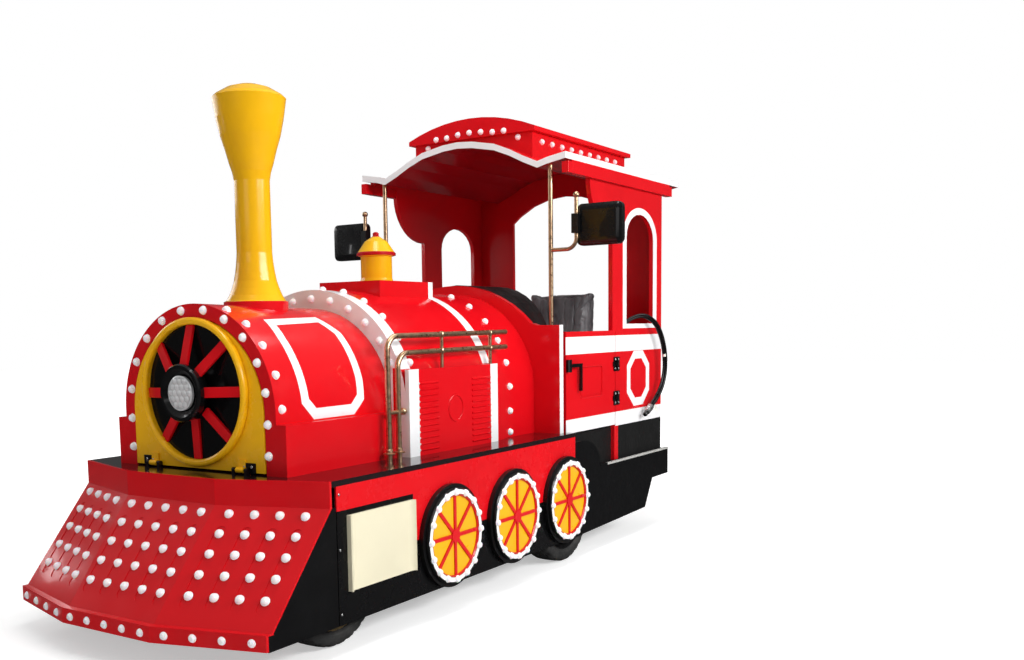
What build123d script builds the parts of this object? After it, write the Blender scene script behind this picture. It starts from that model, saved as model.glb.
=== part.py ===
"""Trackless fairground train locomotive: structure. Millimetres, +X forward, +Y left, +Z up."""
import os
from math import cos, sin, tan, pi, sqrt, radians
from build123d import *

os.makedirs("parts", exist_ok=True)

shift = -365.25         # brings the middle of the length to X = 0
half = 750.0            # half width over the skirts
skirtT = 8.0            # skirt panels
deckTop, deckThick = 714.0, 24.0
skirtLow = 122.0
frontAxleX, rearAxleX = 1805.0, -75.0
tyreR, tyreW, rimR = 278.0, 155.0, 205.0
frontTrackY = half - 163.0
rearTrackY = half - 95.0
kingpinY = frontTrackY - 65.0
boilerZ = 965.0         # axis of the smokebox front and the firebox
rSmoke, rFire = 465.0, 535.0
smokeDrop, smokeFlare = 31.0, 12.0     # the smokebox's rear end sits lower and is wider
rMid, midZ = 562.0, boilerZ - 25.0
midTop = midZ + rMid
boxY = rMid + 18.0      # louvered side boxes
boxTop = 1120.0
xSmoke0, xSmoke1 = 1170.0, 1930.0
xMid0 = 300.0
boxX0 = 394.0
saddleTop = midTop + 48.0
doorR, doorGap = 399.0, 5.0            # smokebox door's half width and the gap round it
doorZc, ringIn, ringOut = 1052.0, 290.0, 320.0
hingeY = 270.0
bulkX0, bulkX1 = -105.0, -65.0
cabY, cabT = half - 50.0, 28.0
lampR, lampH, lampSink = 16.0, 12.0, 4.0
railY = boxY - 22.0
doorX0, doorX1 = -775.0, -130.0
doorZ0, doorZ1 = 705.0, 1275.0
rearX = -1475.0
sillZ = 1314.0          # lower edge of the cab's side windows
colAxis = Vector(230, 0, 202).normalized()
run = 0.05              # radial running clearance of a pin in its bore


def box(x0, x1, y0, y1, z0, z1):
    return Pos((x0 + x1) / 2, (y0 + y1) / 2, (z0 + z1) / 2) * Box(x1 - x0, y1 - y0, z1 - z0)


def faceOf(plane, pts):
    return plane * make_face(Polyline(*[(p[0], p[1]) for p in pts], close=True))


def prismX(pts, x0, x1):
    return extrude(faceOf(Plane(origin=(x0, 0, 0), x_dir=(0, 1, 0), z_dir=(1, 0, 0)), pts), x1 - x0)


def prismY(pts, y0, y1):
    return extrude(faceOf(Plane(origin=(0, y1, 0), x_dir=(1, 0, 0), z_dir=(0, -1, 0)), pts), y1 - y0)


def prismZ(pts, z0, z1):
    return extrude(faceOf(Plane(origin=(0, 0, z0), x_dir=(1, 0, 0), z_dir=(0, 0, 1)), pts), z1 - z0)


def cylX(x0, x1, y, z, r):
    return Pos((x0 + x1) / 2, y, z) * Rot(0, 90, 0) * Cylinder(r, x1 - x0)


def cylY(x, y0, y1, z, r):
    return Pos(x, (y0 + y1) / 2, z) * Rot(90, 0, 0) * Cylinder(r, y1 - y0)


def cylZ(x, y, z0, z1, r):
    return Pos(x, y, (z0 + z1) / 2) * Cylinder(r, z1 - z0)


def revZ(profile, x, y):
    f = Plane.XZ * make_face(Polyline(*profile, close=True))
    return Pos(x, y, 0) * revolve(f, Axis.Z)


def revY(profile, x, z):
    """profile is (radius, y)."""
    f = Plane.XY * make_face(Polyline(*profile, close=True))
    return Pos(x, 0, z) * revolve(f, Axis.Y)


def revX(profile, y, z):
    """profile is (x, radius)."""
    f = Plane.XY * make_face(Polyline(*profile, close=True))
    return Pos(0, y, z) * revolve(f, Axis.X)


def arcPts(cy, cz, r, a0, a1, n):
    return [(cy + r * cos(radians(a0 + (a1 - a0) * i / n)), cz + r * sin(radians(a0 + (a1 - a0) * i / n))) for i in range(n + 1)]


def tube(points, r, bend=None):
    path = FilletPolyline(*points, radius=bend) if bend and len(points) > 2 else Polyline(*points)
    start = path @ 0
    return sweep(Plane(origin=start, z_dir=path % 0) * Circle(r), path=path, transition=Transition.ROUND)


def mirrorY(s):
    return mirror(s, Plane.XZ)


def pair(s):
    return Compound([s, mirrorY(s)])


def archFace(r, zc, z0, x):
    """Arched outline: a half circle of radius r about zc over straight sides down to z0."""
    outline = Line((-r, z0), (r, z0)) + Line((r, z0), (r, zc)) + Line((-r, zc), (-r, z0))
    outline += ThreePointArc((r, zc), (0, zc + r), (-r, zc))
    return Plane(origin=(x, 0, 0), x_dir=(0, 1, 0), z_dir=(1, 0, 0)) * make_face(outline)


def arch(r, z0, x0, x1, zc=boilerZ):
    return extrude(archFace(r, zc, z0, x0), x1 - x0)


lampUnit = Pos(0, 0, -lampSink) * extrude(RegularPolygon(lampR, 8), lampH + lampSink, taper=24)


def lamp(at, normal):
    """Eight-sided dome lamp standing on a surface at a point."""
    n = Vector(*normal).normalized()
    side = Vector(0, 0, 1) if abs(n.Z) < 0.9 else Vector(1, 0, 0)
    return Plane(origin=at, x_dir=side.cross(n).normalized(), z_dir=n).location * lampUnit


def lampPair(at, normal):
    """The same lamp on the left and the right side."""
    x, y, z = at
    nx, ny, nz = normal
    return [lamp((x, sy * y, z), (nx, sy * ny, nz)) for sy in (1, -1)]


def onArch(x, r, zc, angle):
    """Lamps on both sides of an arch, at an angle from its top."""
    u, v = sin(radians(angle)), cos(radians(angle))
    return lampPair((x, r * u, zc + r * v), (0, u, v))


nodes = {}


def out(name, shape):
    nodes[name] = shape


# --- running gear ---------------------------------------------------------
def chassisFrame():
    parts = []
    for sy in (1, -1):
        def b(x0, x1, y0, y1, z0, z1):
            parts.append(box(x0, x1, min(sy * y0, sy * y1), max(sy * y0, sy * y1), z0, z1))
        b(-1440, 1990, 300, 360, 360, 460)                       # rail
        for x in (1420, 900, 250):                               # outriggers that carry the skirts and the deck
            b(x - 25, x + 25, 300, half - 9, 400, 440)
            b(x - 15, x + 15, half - 50, half - 20, 430, deckTop - deckThick)
        for x in (-400, -900, -1400):                            # and the rear step
            b(x - 25, x + 25, 300, half - 9, 400, 440)
            b(x - 15, x + 15, half - 50, half - 20, 430, 478)
        for x in (1950, 1350, 800, 300):                         # posts up to the deck
            b(x - 20, x + 20, 310, 350, 455, deckTop - deckThick)
        for x in (-250, -1380):                                  # posts up to the cab floor
            b(x - 20, x + 20, 310, 350, 455, 672)
        b(frontAxleX - 40, frontAxleX + 40, 300, 360, 318, 365)  # axle saddles
        b(rearAxleX - 45, rearAxleX + 45, 300, 360, 282, 365)
        for x in (420, 1080):                                    # battery tray bars
            b(x - 25, x + 25, 0, 360, 336, 360)
        parts.append(prismY([(1980, 380), (2265.6, 380), (2202, 460), (1980, 460)], *sorted((sy * 180, sy * 240))))
    for x in (1980, 1360, 240, -400, -900, -1410):
        parts.append(box(x - 30, x + 30, -330, 330, 370, 450))
    parts.append(box(rearX - 60, -1410, -40, 40, 380, 440) + box(rearX - 130, rearX - 50, -45, 45, 376, 392))
    s = parts[0]
    for p in parts[1:]:
        s = s + p
    return s - cylZ(rearX - 100, 0, 370, 400, 13) - cylY(rearAxleX, -400, 400, tyreR, 38)


def frontAxle():
    s = box(frontAxleX - 32, frontAxleX + 32, -452, 452, 246, 318)
    for sy in (1, -1):
        y0, y1 = sorted((sy * 446, sy * (kingpinY + 20)))
        s = s + box(frontAxleX - 20, frontAxleX + 20, y0, y1, 318, 338)
        s = s + box(frontAxleX - 20, frontAxleX + 20, y0, y1, 218, 238)
        y2, y3 = sorted((sy * 446, sy * 466))
        s = s + box(frontAxleX - 28, frontAxleX + 28, y2, y3, 218, 338)
        s = s + cylZ(frontAxleX, sy * kingpinY, 214, 342, 11)
    return s


def knuckle(sy):
    k = cylZ(frontAxleX, sy * kingpinY, 240, 316, 24)
    y0, y1 = sorted((sy * (kingpinY + 10), sy * (frontTrackY + 48)))
    k = k + cylY(frontAxleX, y0, y1, tyreR, 19.95)
    k = k - cylZ(frontAxleX, sy * kingpinY, 200, 360, 11 + run)
    k = k + box(frontAxleX - 120, frontAxleX - 18, min(sy * (kingpinY - 28), sy * (kingpinY - 8)), max(sy * (kingpinY - 28), sy * (kingpinY - 8)), 268, 288)
    return k - cylZ(frontAxleX, sy * kingpinY, 200, 360, 11 + run)


def rearAxle():
    s = cylY(rearAxleX, -540, 540, tyreR, 38)
    s = s + revY([(0, -120), (60, -120), (105, -60), (105, 60), (60, 120), (0, 120)], rearAxleX, tyreR)
    for sy in (1, -1):
        y0, y1 = sorted((sy * 530, sy * (rearTrackY + 48)))
        s = s + cylY(rearAxleX, y0, y1, tyreR, 19.95)
    return s


def rim(x, sy, yc):
    """Dished steel wheel; profile is radius against distance outwards from the wheel's middle plane."""
    p = [(20, -30), (58, -30), (58, 18), (120, 26), (150, 14), (178, 14), (186, -40), (186, -66), (rimR + 4, -66), (rimR + 4, -60), (192, -60),
         (192, 60), (rimR + 4, 60), (rimR + 4, 66), (184, 66), (184, 22), (150, 24), (120, 38), (60, 30), (60, 44), (20, 44)]
    s = revY([(r, sy * (yc + y)) for r, y in p], x, tyreR)
    return s


def tyre(x, sy, yc):
    w = tyreW / 2
    p = [(192, -60), (209, -60), (209, -68), (225, -w), (250, -w), (268, -w + 9), (tyreR - 2, -w + 22), (tyreR, 0),
         (tyreR - 2, w - 22), (268, w - 9), (250, w), (225, w), (209, 68), (209, 60), (192, 60)]
    return revY([(r, sy * (yc + y)) for r, y in p], x, tyreR)


# --- lower body -----------------------------------------------------------
foldTop, foldFoot = 270.0, 262.0       # half width of the plow's middle facet, above and below
bandZ, slopeZ, footZ = 607.0, 191.0, 126.0
plowT = 12.0
plowTop = [(1941, half), (2097, foldTop), (2097, -foldTop), (1941, -half)]     # plan view, outer faces
plowLip = [(2290, half), (2428, foldFoot), (2428, -foldFoot), (2290, -half)]
plowFoot = [(2318, half), (2458.5, 268), (2458.5, -268), (2318, -half)]
lampRows = [577.0, 505.5, 434.0, 362.0, 290.0]
lampColumns = [0.0, 108.0, 216.0, 348.0, 456.0, 562.0, 667.0]
grooveTop, grooveLow, grooveW, grooveDepth = 532.0, 248.0, 46.0, 2.5


def facetSolid(lower, upper, z0, z1, t):
    """A folded sheet between two plan polylines at two heights, t thick towards the back."""
    def section(line, z):
        return Pos(0, 0, z) * make_face(Polyline(*line, *[(x - t, y) for x, y in reversed(line)], close=True))
    if lower == upper:
        return extrude(section(lower, z0), z1 - z0)
    return loft([section(lower, z0), section(upper, z1)], ruled=True)


def planX(line, y):
    """X of a plan polyline's outer face at a distance y from the middle."""
    (xEdge, yEdge), (xFold, yFold) = line[0], line[1]
    if y <= yFold:
        return xFold
    return xFold + (xEdge - xFold) * (y - yFold) / (yEdge - yFold)


def slopePoint(y, z):
    """Point on the plow's sloping facets."""
    top, foot = planX(plowTop, abs(y)), planX(plowLip, abs(y))
    return Vector(foot + (top - foot) * (z - slopeZ) / (bandZ - slopeZ), y, z)


def slopeFrame(y, z):
    """Plane on the slope: its X runs up the facet and its Z points outwards."""
    up = (slopePoint(y, z + 10) - slopePoint(y, z - 10)).normalized()
    step = 4 if y >= 0 else -4
    across = (slopePoint(y + step, z) - slopePoint(y - step / 4, z)).normalized()
    outward = across.cross(up) if y >= 0 else up.cross(across)
    return Plane(origin=slopePoint(y, z), x_dir=up, z_dir=outward)


def plow():
    s = facetSolid(plowTop, plowTop, bandZ, deckTop, plowT)
    s = s + facetSolid(plowLip, plowTop, slopeZ, bandZ + 0.5, plowT)
    s = s + facetSolid(plowFoot, plowFoot, footZ, slopeZ, plowT)
    s = s + prismZ(plowFoot + [(x - plowT, y) for x, y in reversed(plowLip)], slopeZ - 6, slopeZ)
    columns = sorted({sy * y for y in lampColumns for sy in (1, -1)})
    grooves = []
    lamps = []
    for y in columns:
        length = (slopePoint(y, grooveTop) - slopePoint(y, grooveLow)).length
        middle = slopeFrame(y, (grooveTop + grooveLow) / 2)
        slot = middle.location * Pos(0, 0, -grooveDepth) * SlotOverall(length, grooveW)
        grooves.append(extrude(slot, grooveDepth + 8, dir=middle.z_dir))
        for z in lampRows:
            frame = slopeFrame(y, z)
            lamps.append(lamp(frame.origin, frame.z_dir))
    for y in (-216, -108, 0, 108, 216):
        lamps.append(lamp((plowFoot[1][0], y, 158), (1, 0, 0)))
    a, b = Vector(*plowFoot[1], 158), Vector(*plowFoot[0], 158)
    n = Vector(b.Y - a.Y, a.X - b.X, 0).normalized()
    for k in range(4):
        q = a + (b - a) * ((k + 0.5) / 4)
        lamps += lampPair((q.X, q.Y, q.Z), (n.X, n.Y, 0))
    return (s - grooves) + lamps


def plowSides():
    p = [(1905, 122), (2305, 122), (2305, 184.9), (2277, 184.9), (2277, 190), (1928, 606), (1905, 606)]
    return pair(prismY(p, half - 12, half - 1) - plow())


def deckPlate():
    edge, nose = plowTop[0][0] - plowT + 0.3, plowTop[1][0] - plowT
    plan = [(-148, half - 1), (edge, half - 1), (nose, foldTop)]
    s = prismZ(plan + [(x, -y) for x, y in reversed(plan)], deckTop - deckThick, deckTop)
    for sy in (1, -1):                                 # notch that the cab door's front edge drops into
        s = s - box(-160, -124, *sorted((sy * (cabY - 36), sy * (cabY + 8))), 680, 720)
    for y in (-hingeY, hingeY):                        # hinge lugs and pins of the smokebox door
        s = s + cylY(xSmoke1 + 16, y - 44, y + 44, deckTop + 18, 5)
        for e in (-1, 1):
            y0, y1 = sorted((y + e * 28, y + e * 44))
            s = s + cylY(xSmoke1 + 16, y0, y1, deckTop + 18, 11) + box(xSmoke1 + 6, xSmoke1 + 26, y0, y1, deckTop, deckTop + 18)
    return s


def sideSkirts():
    return pair(box(-150, 1900, half - 9, half - 1, skirtLow, deckTop - deckThick))


def rearSkirts():
    arc = [(-240 - 230 * sin(radians(a)), 500 + 160 * cos(radians(a))) for a in range(0, 91, 15)]
    p = [(-152, skirtLow), (-152, 660), ] + arc + [(-474, 490), (rearX - 5, 490), (rearX - 5, 325), (-1226, 323), (-1112, 148), (-480, 131)]
    s = prismY(p, half - 9, half - 1)
    s = s + box(rearX - 5, -470, cabY - 40, half - 1, 478, 490)
    s = s + box(rearX - 5, -470, half - 12, half + 2, 486, 498)
    return pair(s)


decoX, decoZ = (1109.0, 547.0, -15.0), 358.0
decoLampR, decoLamps = 203.0, 16


def decoWheels():
    """Drums on the skirts with a ring of lamps and eight spokes, like driving wheels."""
    face = half + 40
    drum = [(0, half - 1), (240, half - 1), (240, half + 22), (222, half + 22), (222, face - 6), (216, face),
            (190, face), (184, face - 6), (184, half + 28), (0, half + 28)]
    s = []
    for x in decoX:
        one = revY(drum, x, decoZ) + cylY(x, half + 27, half + 38, decoZ, 32)
        for k in range(4):
            one = one + Pos(x, half + 31, decoZ) * Rot(0, 45 * k, 0) * Box(374, 8, 17)
        turns = [2 * pi * k / decoLamps for k in range(decoLamps)]
        one = one + [lamp((x + decoLampR * sin(t), face, decoZ + decoLampR * cos(t)), (0, 1, 0)) for t in turns]
        s += [one, mirrorY(one)]
    return Compound(s)


coverX0, coverX1 = 1393.0, 1840.0


def serviceCovers():
    """Panels whose upright edges curl outwards into lips."""
    base, skin, lip, curl = half - 1, half + 8, half + 24, 44
    plan = Line((coverX0, base), (coverX0, lip - 4)) + Line((coverX0, lip - 4), (coverX0 + 5, lip))
    plan += ThreePointArc((coverX0 + 5, lip), (coverX0 + 16, skin + 5), (coverX0 + curl, skin))
    plan += Line((coverX0 + curl, skin), (coverX1 - curl, skin))
    plan += ThreePointArc((coverX1 - curl, skin), (coverX1 - 16, skin + 5), (coverX1 - 5, lip))
    plan += Line((coverX1 - 5, lip), (coverX1, lip - 4)) + Line((coverX1, lip - 4), (coverX1, base))
    plan += Line((coverX1, base), (coverX0, base))
    return pair(extrude(Pos(0, 0, 253) * make_face(plan), 313))


# --- boiler ---------------------------------------------------------------
def smokeShell(grow, z0, x0, x1):
    """The smokebox's outline from front to rear, where it sits lower and wider, grown by an amount."""
    def section(x):
        back = (xSmoke1 - x) / (xSmoke1 - xSmoke0)
        return archFace(rSmoke + smokeFlare * back + grow, boilerZ - smokeDrop * back, z0, x)
    return loft([section(x0), section(x1)], ruled=True)


def smokebox():
    s = smokeShell(0, deckTop, xSmoke0, xSmoke1) - smokeShell(-10, deckTop - 1, xSmoke0 - 1, xSmoke1 - 10)
    s = s - arch(doorR + doorGap, deckTop - 1, xSmoke1 - 11, xSmoke1 + 1)
    for sy in (1, -1):
        y0, y1 = sorted((sy * (rSmoke - 5), sy * (rSmoke + 53)))
        s = s + box(xSmoke0, xSmoke1, y0, y1, deckTop, 927)
    s = s - smokeShell(-10, deckTop - 1, xSmoke0 - 1, xSmoke1 - 10)
    ringR, ringZ, pitch = doorR + doorGap + lampR + 0.5, boilerZ + 20, 17.7
    lamps = []
    for k in range(5):
        t = radians(pitch * (k + 0.53))
        lamps += lampPair((xSmoke1, ringR * sin(t), ringZ + ringR * cos(t)), (1, 0, 0))
    for z in (926, 796):
        lamps += lampPair((xSmoke1, ringR, z), (1, 0, 0))
    for angle in (21.2, 36.7, 52.2, 69.3, 87.0):
        lamps += onArch(1893, rSmoke, boilerZ - 1.5, angle)
    return s + lamps


def smokeDoor():
    zc, ro, ri = doorZc, ringOut, ringIn
    s = arch(doorR, deckTop + 8, xSmoke1 - 9, xSmoke1 + 3)
    s = s - cylX(xSmoke1 - 20, xSmoke1 + 20, 0, zc, ri)
    ring = [(-9, ri), (20, ri), (26, ri + 3), (30, ri + 10), (30, ro - 10), (26, ro - 3), (20, ro), (6, ro), (3, ro - 9)]
    s = s + revX([(xSmoke1 + x, r) for x, r in ring], 0, zc)
    for y in (-hingeY, hingeY):                        # hinge barrels at the foot
        s = s + cylY(xSmoke1 + 16, y - 22, y + 22, deckTop + 18, 12)
        s = s + box(xSmoke1, xSmoke1 + 10, y - 22, y + 22, deckTop + 10, deckTop + 60)
        s = s - cylY(xSmoke1 + 16, y - 40, y + 40, deckTop + 18, 5 + run)
    return s


def doorSpokes():
    """A closing disc with eight spokes on it, inside the door's ring."""
    zc, r = doorZc, ringIn - 0.2
    s = cylX(xSmoke1 - 4, xSmoke1 + 2.5, 0, zc, r) + cylX(xSmoke1 + 2, xSmoke1 + 12, 0, zc, 90)
    spokes = [Pos(xSmoke1 + 7, 0, zc) * Rot(45 * k + 12, 0, 0) * Box(10, 590, 44) for k in range(4)]
    return s + [bar & cylX(xSmoke1, xSmoke1 + 20, 0, zc, r) for bar in spokes]


def headlight():
    zc, x = doorZc, xSmoke1
    shell = [(12, 0), (12, 92), (20, 104), (60, 122), (84, 124), (92, 118), (92, 104), (74, 80), (70, 72),
             (84, 68), (90, 40), (92, 0)]
    return revX([(x + dx, r) for dx, r in shell], 0, zc)


def midBoiler():
    """Boiler jacket with a collar at its front, louvered side boxes and the dome's saddle."""
    s = arch(rMid, deckTop, xMid0, xSmoke0, midZ) + box(423, 880, -197, 197, midTop - 102, saddleTop)
    for sy in (1, -1):
        y0, y1 = sorted((sy * (rMid - 4), sy * boxY))
        s = s + box(boxX0, xSmoke0, y0, y1, deckTop, boxTop)
    s = s - arch(rMid - 10, deckTop - 1, xMid0 - 1, xSmoke0 - 10, midZ)
    s = s - arch(rSmoke - 10, deckTop - 1, xSmoke0 - 11, xSmoke0 + 1, midZ)
    details = []
    for sy in (1, -1):
        def blade(x0, x1, z):
            section = [(sy * (boxY - 1), z + 1), (sy * (boxY + 6), z - 5), (sy * (boxY + 6), z - 8), (sy * (boxY - 1), z - 15)]
            return prismX(section, x0, x1)
        for x0, x1 in ((468, 640), (938, 1095)):
            details += [blade(x0, x1, 1060 - 28.5 * k) for k in range(12)]
        ridge = [(59, boxY - 1), (61, boxY + 4), (65, boxY + 4), (67, boxY - 1)]
        details.append(revY([(r, sy * y) for r, y in ridge], 787, 917))
    faceR = rMid - 43
    details.append(lamp((xSmoke0, 0, midZ + faceR), (1, 0, 0)))
    for k in range(1, 6):
        t = radians(13.2 * k)
        details += lampPair((xSmoke0, faceR * sin(t), midZ + faceR * cos(t)), (1, 0, 0))
    details.append(lamp((1085, 0, midTop), (0, 0, 1)))
    for k in range(1, 6):
        details += onArch(1085, rMid, midZ, 13.6 * k)
    return s + details


def firebox():
    s = arch(rFire, deckTop, bulkX1, xMid0) - arch(rFire - 10, deckTop - 1, bulkX1 - 1, xMid0 - 10)
    s = s - arch(rSmoke, deckTop - 1, xMid0 - 11, xMid0 + 1)
    lamps = []
    for k in range(6):
        lamps += onArch(200, rFire, boilerZ, 18.0 + 13.9 * k)
    for z in (857, 743):
        lamps += lampPair((200, rFire, z), (0, 1, 0))
    return s + lamps


def steamDome():
    profile = [(0, 0), (88, 0), (84, 16), (82, 24), (82, 134), (103, 140), (103, 152), (96, 158), (84, 176),
               (60, 212), (24, 236), (16, 242), (16, 256), (8, 262), (0, 262)]
    return revZ([(r, saddleTop + h) for r, h in profile], 651, 0)


def chimney():
    x = 1545
    foot = boilerZ + rSmoke - 12
    stack = [(0, 0), (146, 0), (146, 22), (134, 28), (120, 52), (108, 82), (97, 116), (90, 152), (84, 196), (80, 242),
             (80, 562), (87, 602), (100, 642), (116, 702), (135, 762), (151, 836), (163, 912), (165, 924),
             (150, 938), (100, 967), (50, 982), (0, 985)]
    s = revZ([(r, foot + h) for r, h in stack], x, 0)
    s = s + cylZ(x, 0, foot - 38, foot + 2, 146)
    return s - smokeShell(0, deckTop, xSmoke0, xSmoke1)


# --- cab ------------------------------------------------------------------
def bulkhead():
    R, c = 700.0, 850.0
    arc = [(R * sin(radians(a)), c + R * cos(radians(a))) for a in (47, 40, 33, 26, 19, 12, 6, 0)]
    top = [(cabY, 1314), (cabY - 140, 1314), (cabY - 170, 1324)] + arc
    left = [(-y, z) for y, z in reversed(top[:-1])]
    p = [(cabY, deckTop)] + top + left + [(-cabY, deckTop)]
    return prismX(p, bulkX0, bulkX1)


def dashConsole():
    R, c = 370.0, 1185.0
    pts = [(R, 1000)] + arcPts(0, c, R, 0, 180, 16) + [(-R, 1000)]
    s = prismX(pts, -560, bulkX0)
    inner = [(R - 20, 999)] + arcPts(0, c, R - 20, 0, 180, 16) + [(-R + 20, 999)]
    s = s - prismX(inner, -530, bulkX0 - 60)
    col = Plane(origin=(-540, 0, 1155.5), x_dir=(0, 1, 0), z_dir=(-colAxis.X, 0, colAxis.Z))
    return s + col * Pos(0, 0, 100) * Cylinder(26, 200) + col * Pos(0, 0, 216) * Cylinder(12, 32)


def cabFloor():
    return box(rearX + cabT, -148, -cabY + cabT, cabY - cabT, 672, 696)


def sills():
    """Black body sides under the doors, with the post at the seam."""
    s = box(rearX, -811, cabY - cabT, cabY - 2, 490, 696) + box(-812, -760, cabY - cabT, cabY, 490, 696)
    s = s + box(-761, -400, cabY - cabT, cabY - cabT + 6, 490, 690) + box(-761, -150, cabY - cabT, cabY - cabT + 6, 600, 690)
    return pair(s)


def doorPanel(sy):
    g = 6
    s = box(doorX0 + g, doorX1 - g, cabY - cabT, cabY, doorZ0, doorZ1)
    s = s - box(-584, -313, cabY - 4, cabY + 1, 900, 1075) + box(-576, -321, cabY - 6, cabY, 908, 1067)
    for z in (867, 1073):                              # hinge barrels on the door
        s = s + cylZ(doorX0, cabY + 10, z - 14, z + 14, 9) + box(doorX0, doorX0 + 40, cabY, cabY + 6, z - 14, z + 14)
        s = s - cylZ(doorX0, cabY + 10, z - 40, z + 40, 4 + run)
    s = s + box(-160, -136, cabY, cabY + 26, 1050, 1120) + box(-290, -160, cabY + 12, cabY + 26, 1076, 1096) + box(-290, -272, cabY + 12, cabY + 26, 940, 1090)
    return s if sy > 0 else mirrorY(s)


def roofProfile():
    up = [(cabY + 6, 2252), (cabY - 110, 2232), (cabY - 170, 2216), (440, 2255), (350, 2300), (250, 2340),
          (100, 2368), (0, 2375)]
    return up + [(-y, z) for y, z in reversed(up[:-1])]


def aboveRoof(drop=36):
    """Everything over the roof panel's underside, to cut what meets it."""
    low = [(y, z - drop) for y, z in roofProfile()]
    return prismX([(900, 2600), (900, low[0][1])] + low + [(-900, low[-1][1]), (-900, 2600)], -2000, 200)


def windowOutline(x0, x1, z0, zs, rise):
    """Window hole: upright sides to zs, then a flattened arch."""
    mid, span = (x0 + x1) / 2, (x1 - x0) / 2
    crown = [(mid + span * cos(radians(a)), zs + rise * sin(radians(a))) for a in range(15, 166, 15)]
    return [(x0, z0), (x1, z0), (x1, zs)] + crown + [(x0, zs)]


def sidePanel(sy):
    ellipse = [(-734 + 300 * sin(radians(a)), 2150 - 281 * cos(radians(a))) for a in range(0, 91, 10)]
    p = [(doorX0, 696), (doorX0, 1275), (-734, 1275)] + ellipse + [(-434, 2260), (rearX, 2260), (rearX, 696)]
    s = prismY(p, cabY - cabT, cabY)
    s = s - prismY(windowOutline(-1339, -933, sillZ, 1840, 150), cabY - cabT - 5, cabY + 5)
    s = s + box(-1590, -210, cabY - cabT, cabY + 6, 2190, 2260) + box(-1590, -210, cabY - 20, cabY + 22, 2140, 2200)
    s = s - aboveRoof()
    for z in (867, 1073):
        s = s + cylZ(doorX0, cabY + 10, z - 35, z + 35, 4)
        for e in (-1, 1):
            z0, z1 = sorted((z + e * 20, z + e * 35))
            s = s + cylZ(doorX0, cabY + 10, z0, z1, 9) + box(doorX0 - 40, doorX0, cabY, cabY + 6, z0, z1)
    return s if sy > 0 else mirrorY(s)


def rearWall():
    s = box(rearX, rearX + cabT, -cabY + cabT, cabY - cabT, 600, 2380)
    R, c, w = 605.0, 1585.0, 410
    crown = [(R * sin(radians(a)), c + R * cos(radians(a))) for a in (36, 24, 12, 0, -12, -24, -36)]
    hole = [(-w, 1250), (w, 1250), (w, 2030)] + crown + [(-w, 2030)]
    return s - prismX(hole, rearX - 5, rearX + cabT + 5) - aboveRoof()


def roofPanel():
    full = roofProfile()
    return prismX(full + [(y, z - 36) for y, z in reversed(full)], -1740, -130)


def clerestory():
    w, eave, brim, crown = 410, 2415, 25, 2530
    x0, x1, over = -1530, -290, 28
    s = prismX([(w, 2240), (w, eave), (-w, eave), (-w, 2240)], x0, x1)
    R = 1120.0
    c = crown - R
    curve = [(y, c + sqrt(R * R - y * y)) for y in (360, 270, 180, 90, 0, -90, -180, -270, -360)]
    edge = w + 30
    s = s + prismX([(edge, eave), (edge, eave + brim)] + curve + [(-edge, eave + brim), (-edge, eave)], x0 - 30, x1 + over)
    s = s - prismX([(900, 2000), (900, 2252)] + roofProfile() + [(-900, 2252), (-900, 2000)], -1800, 0)
    lamps = [lamp((x1 + over, 0, 2447), (1, 0, 0))]
    for y, z in ((80, 2443), (160, 2433), (237, 2432)):
        lamps += lampPair((x1 + over, y, z), (1, 0, 0))
    lamps += lampPair((x1, 316, 2391), (1, 0, 0))
    for k in range(9):
        lamps += lampPair((-401 - 122 * k, w, 2368), (0, 1, 0))
    return s + lamps


def roofPosts():
    """Front roof posts, each with a mirror arm and a mirror head."""
    y, x = cabY - 120, -190
    s = cylZ(x, y, 1290, 2260, 13) - aboveRoof()
    s = s + box(x - 15, bulkX0, y - 12, y + 12, 1290, 1304)
    out1 = cabY + 40
    arm = tube([(x, y + 10, 1730), (x, out1, 1730), (x, out1, 2010)], 11, 60)
    ball = Pos(x, out1, 2022) * Sphere(18)
    head = box(x - 45, x - 15, out1 - 5, out1 + 270, 1745, 1972)
    head = fillet(head.edges().filter_by(Axis.X), 34)
    clamp = box(x - 22, x + 22, out1 - 20, out1 + 22, 1815, 1920)
    return pair(s + arm + ball + clamp + head)


def seat():
    cushion = box(-1340, -880, -250, 250, 1080, 1180)
    cushion = fillet(cushion.edges().filter_by(Axis.Y).sort_by(Axis.Z)[-2:], 34)
    back = box(-47.5, 47.5, -250, 250, -200, 200)
    back = fillet(back.edges().filter_by(Axis.Y).sort_by(Axis.Z)[-2:], 34)
    return cushion + Pos(-1385, 0, 1340) * Rot(0, -8, 0) * back + box(-1300, -920, -200, 200, 696, 1080)


def steeringWheel():
    pl = Plane(origin=(-540, 0, 1155.5), x_dir=(0, 1, 0), z_dir=(-colAxis.X, 0, colAxis.Z)).location * Pos(0, 0, 218)
    s = pl * Torus(185, 13) + pl * Cylinder(34, 30)
    for k in range(3):
        s = s + pl * Rot(0, 0, 120 * k + 90) * Pos(95, 0, 0) * Box(180, 26, 8)
    return s - pl * Cylinder(12 + run, 60)


def handrails():
    """Two brass rails a side, bent down to the deck in front of the boxes, with posts and a stay."""
    s = tube([(1301, railY, deckTop), (1301, railY, 1275), (275, railY, 1281)], 13, 70)
    s = s + tube([(1226, railY, deckTop), (1226, railY, 1196), (275, railY, 1204)], 13, 70)
    for x in (870, 430):
        s = s + tube([(x, railY, boxTop), (x, railY, 1278)], 9)
    s = s + tube([(1312, railY, 930), (xSmoke0, railY, 930)], 9) + Pos(xSmoke0 + 20, railY, 930) * Sphere(17)
    return pair(s)


def batteryBlock():
    return box(300, 1200, -290, 290, 360, 620)


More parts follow.
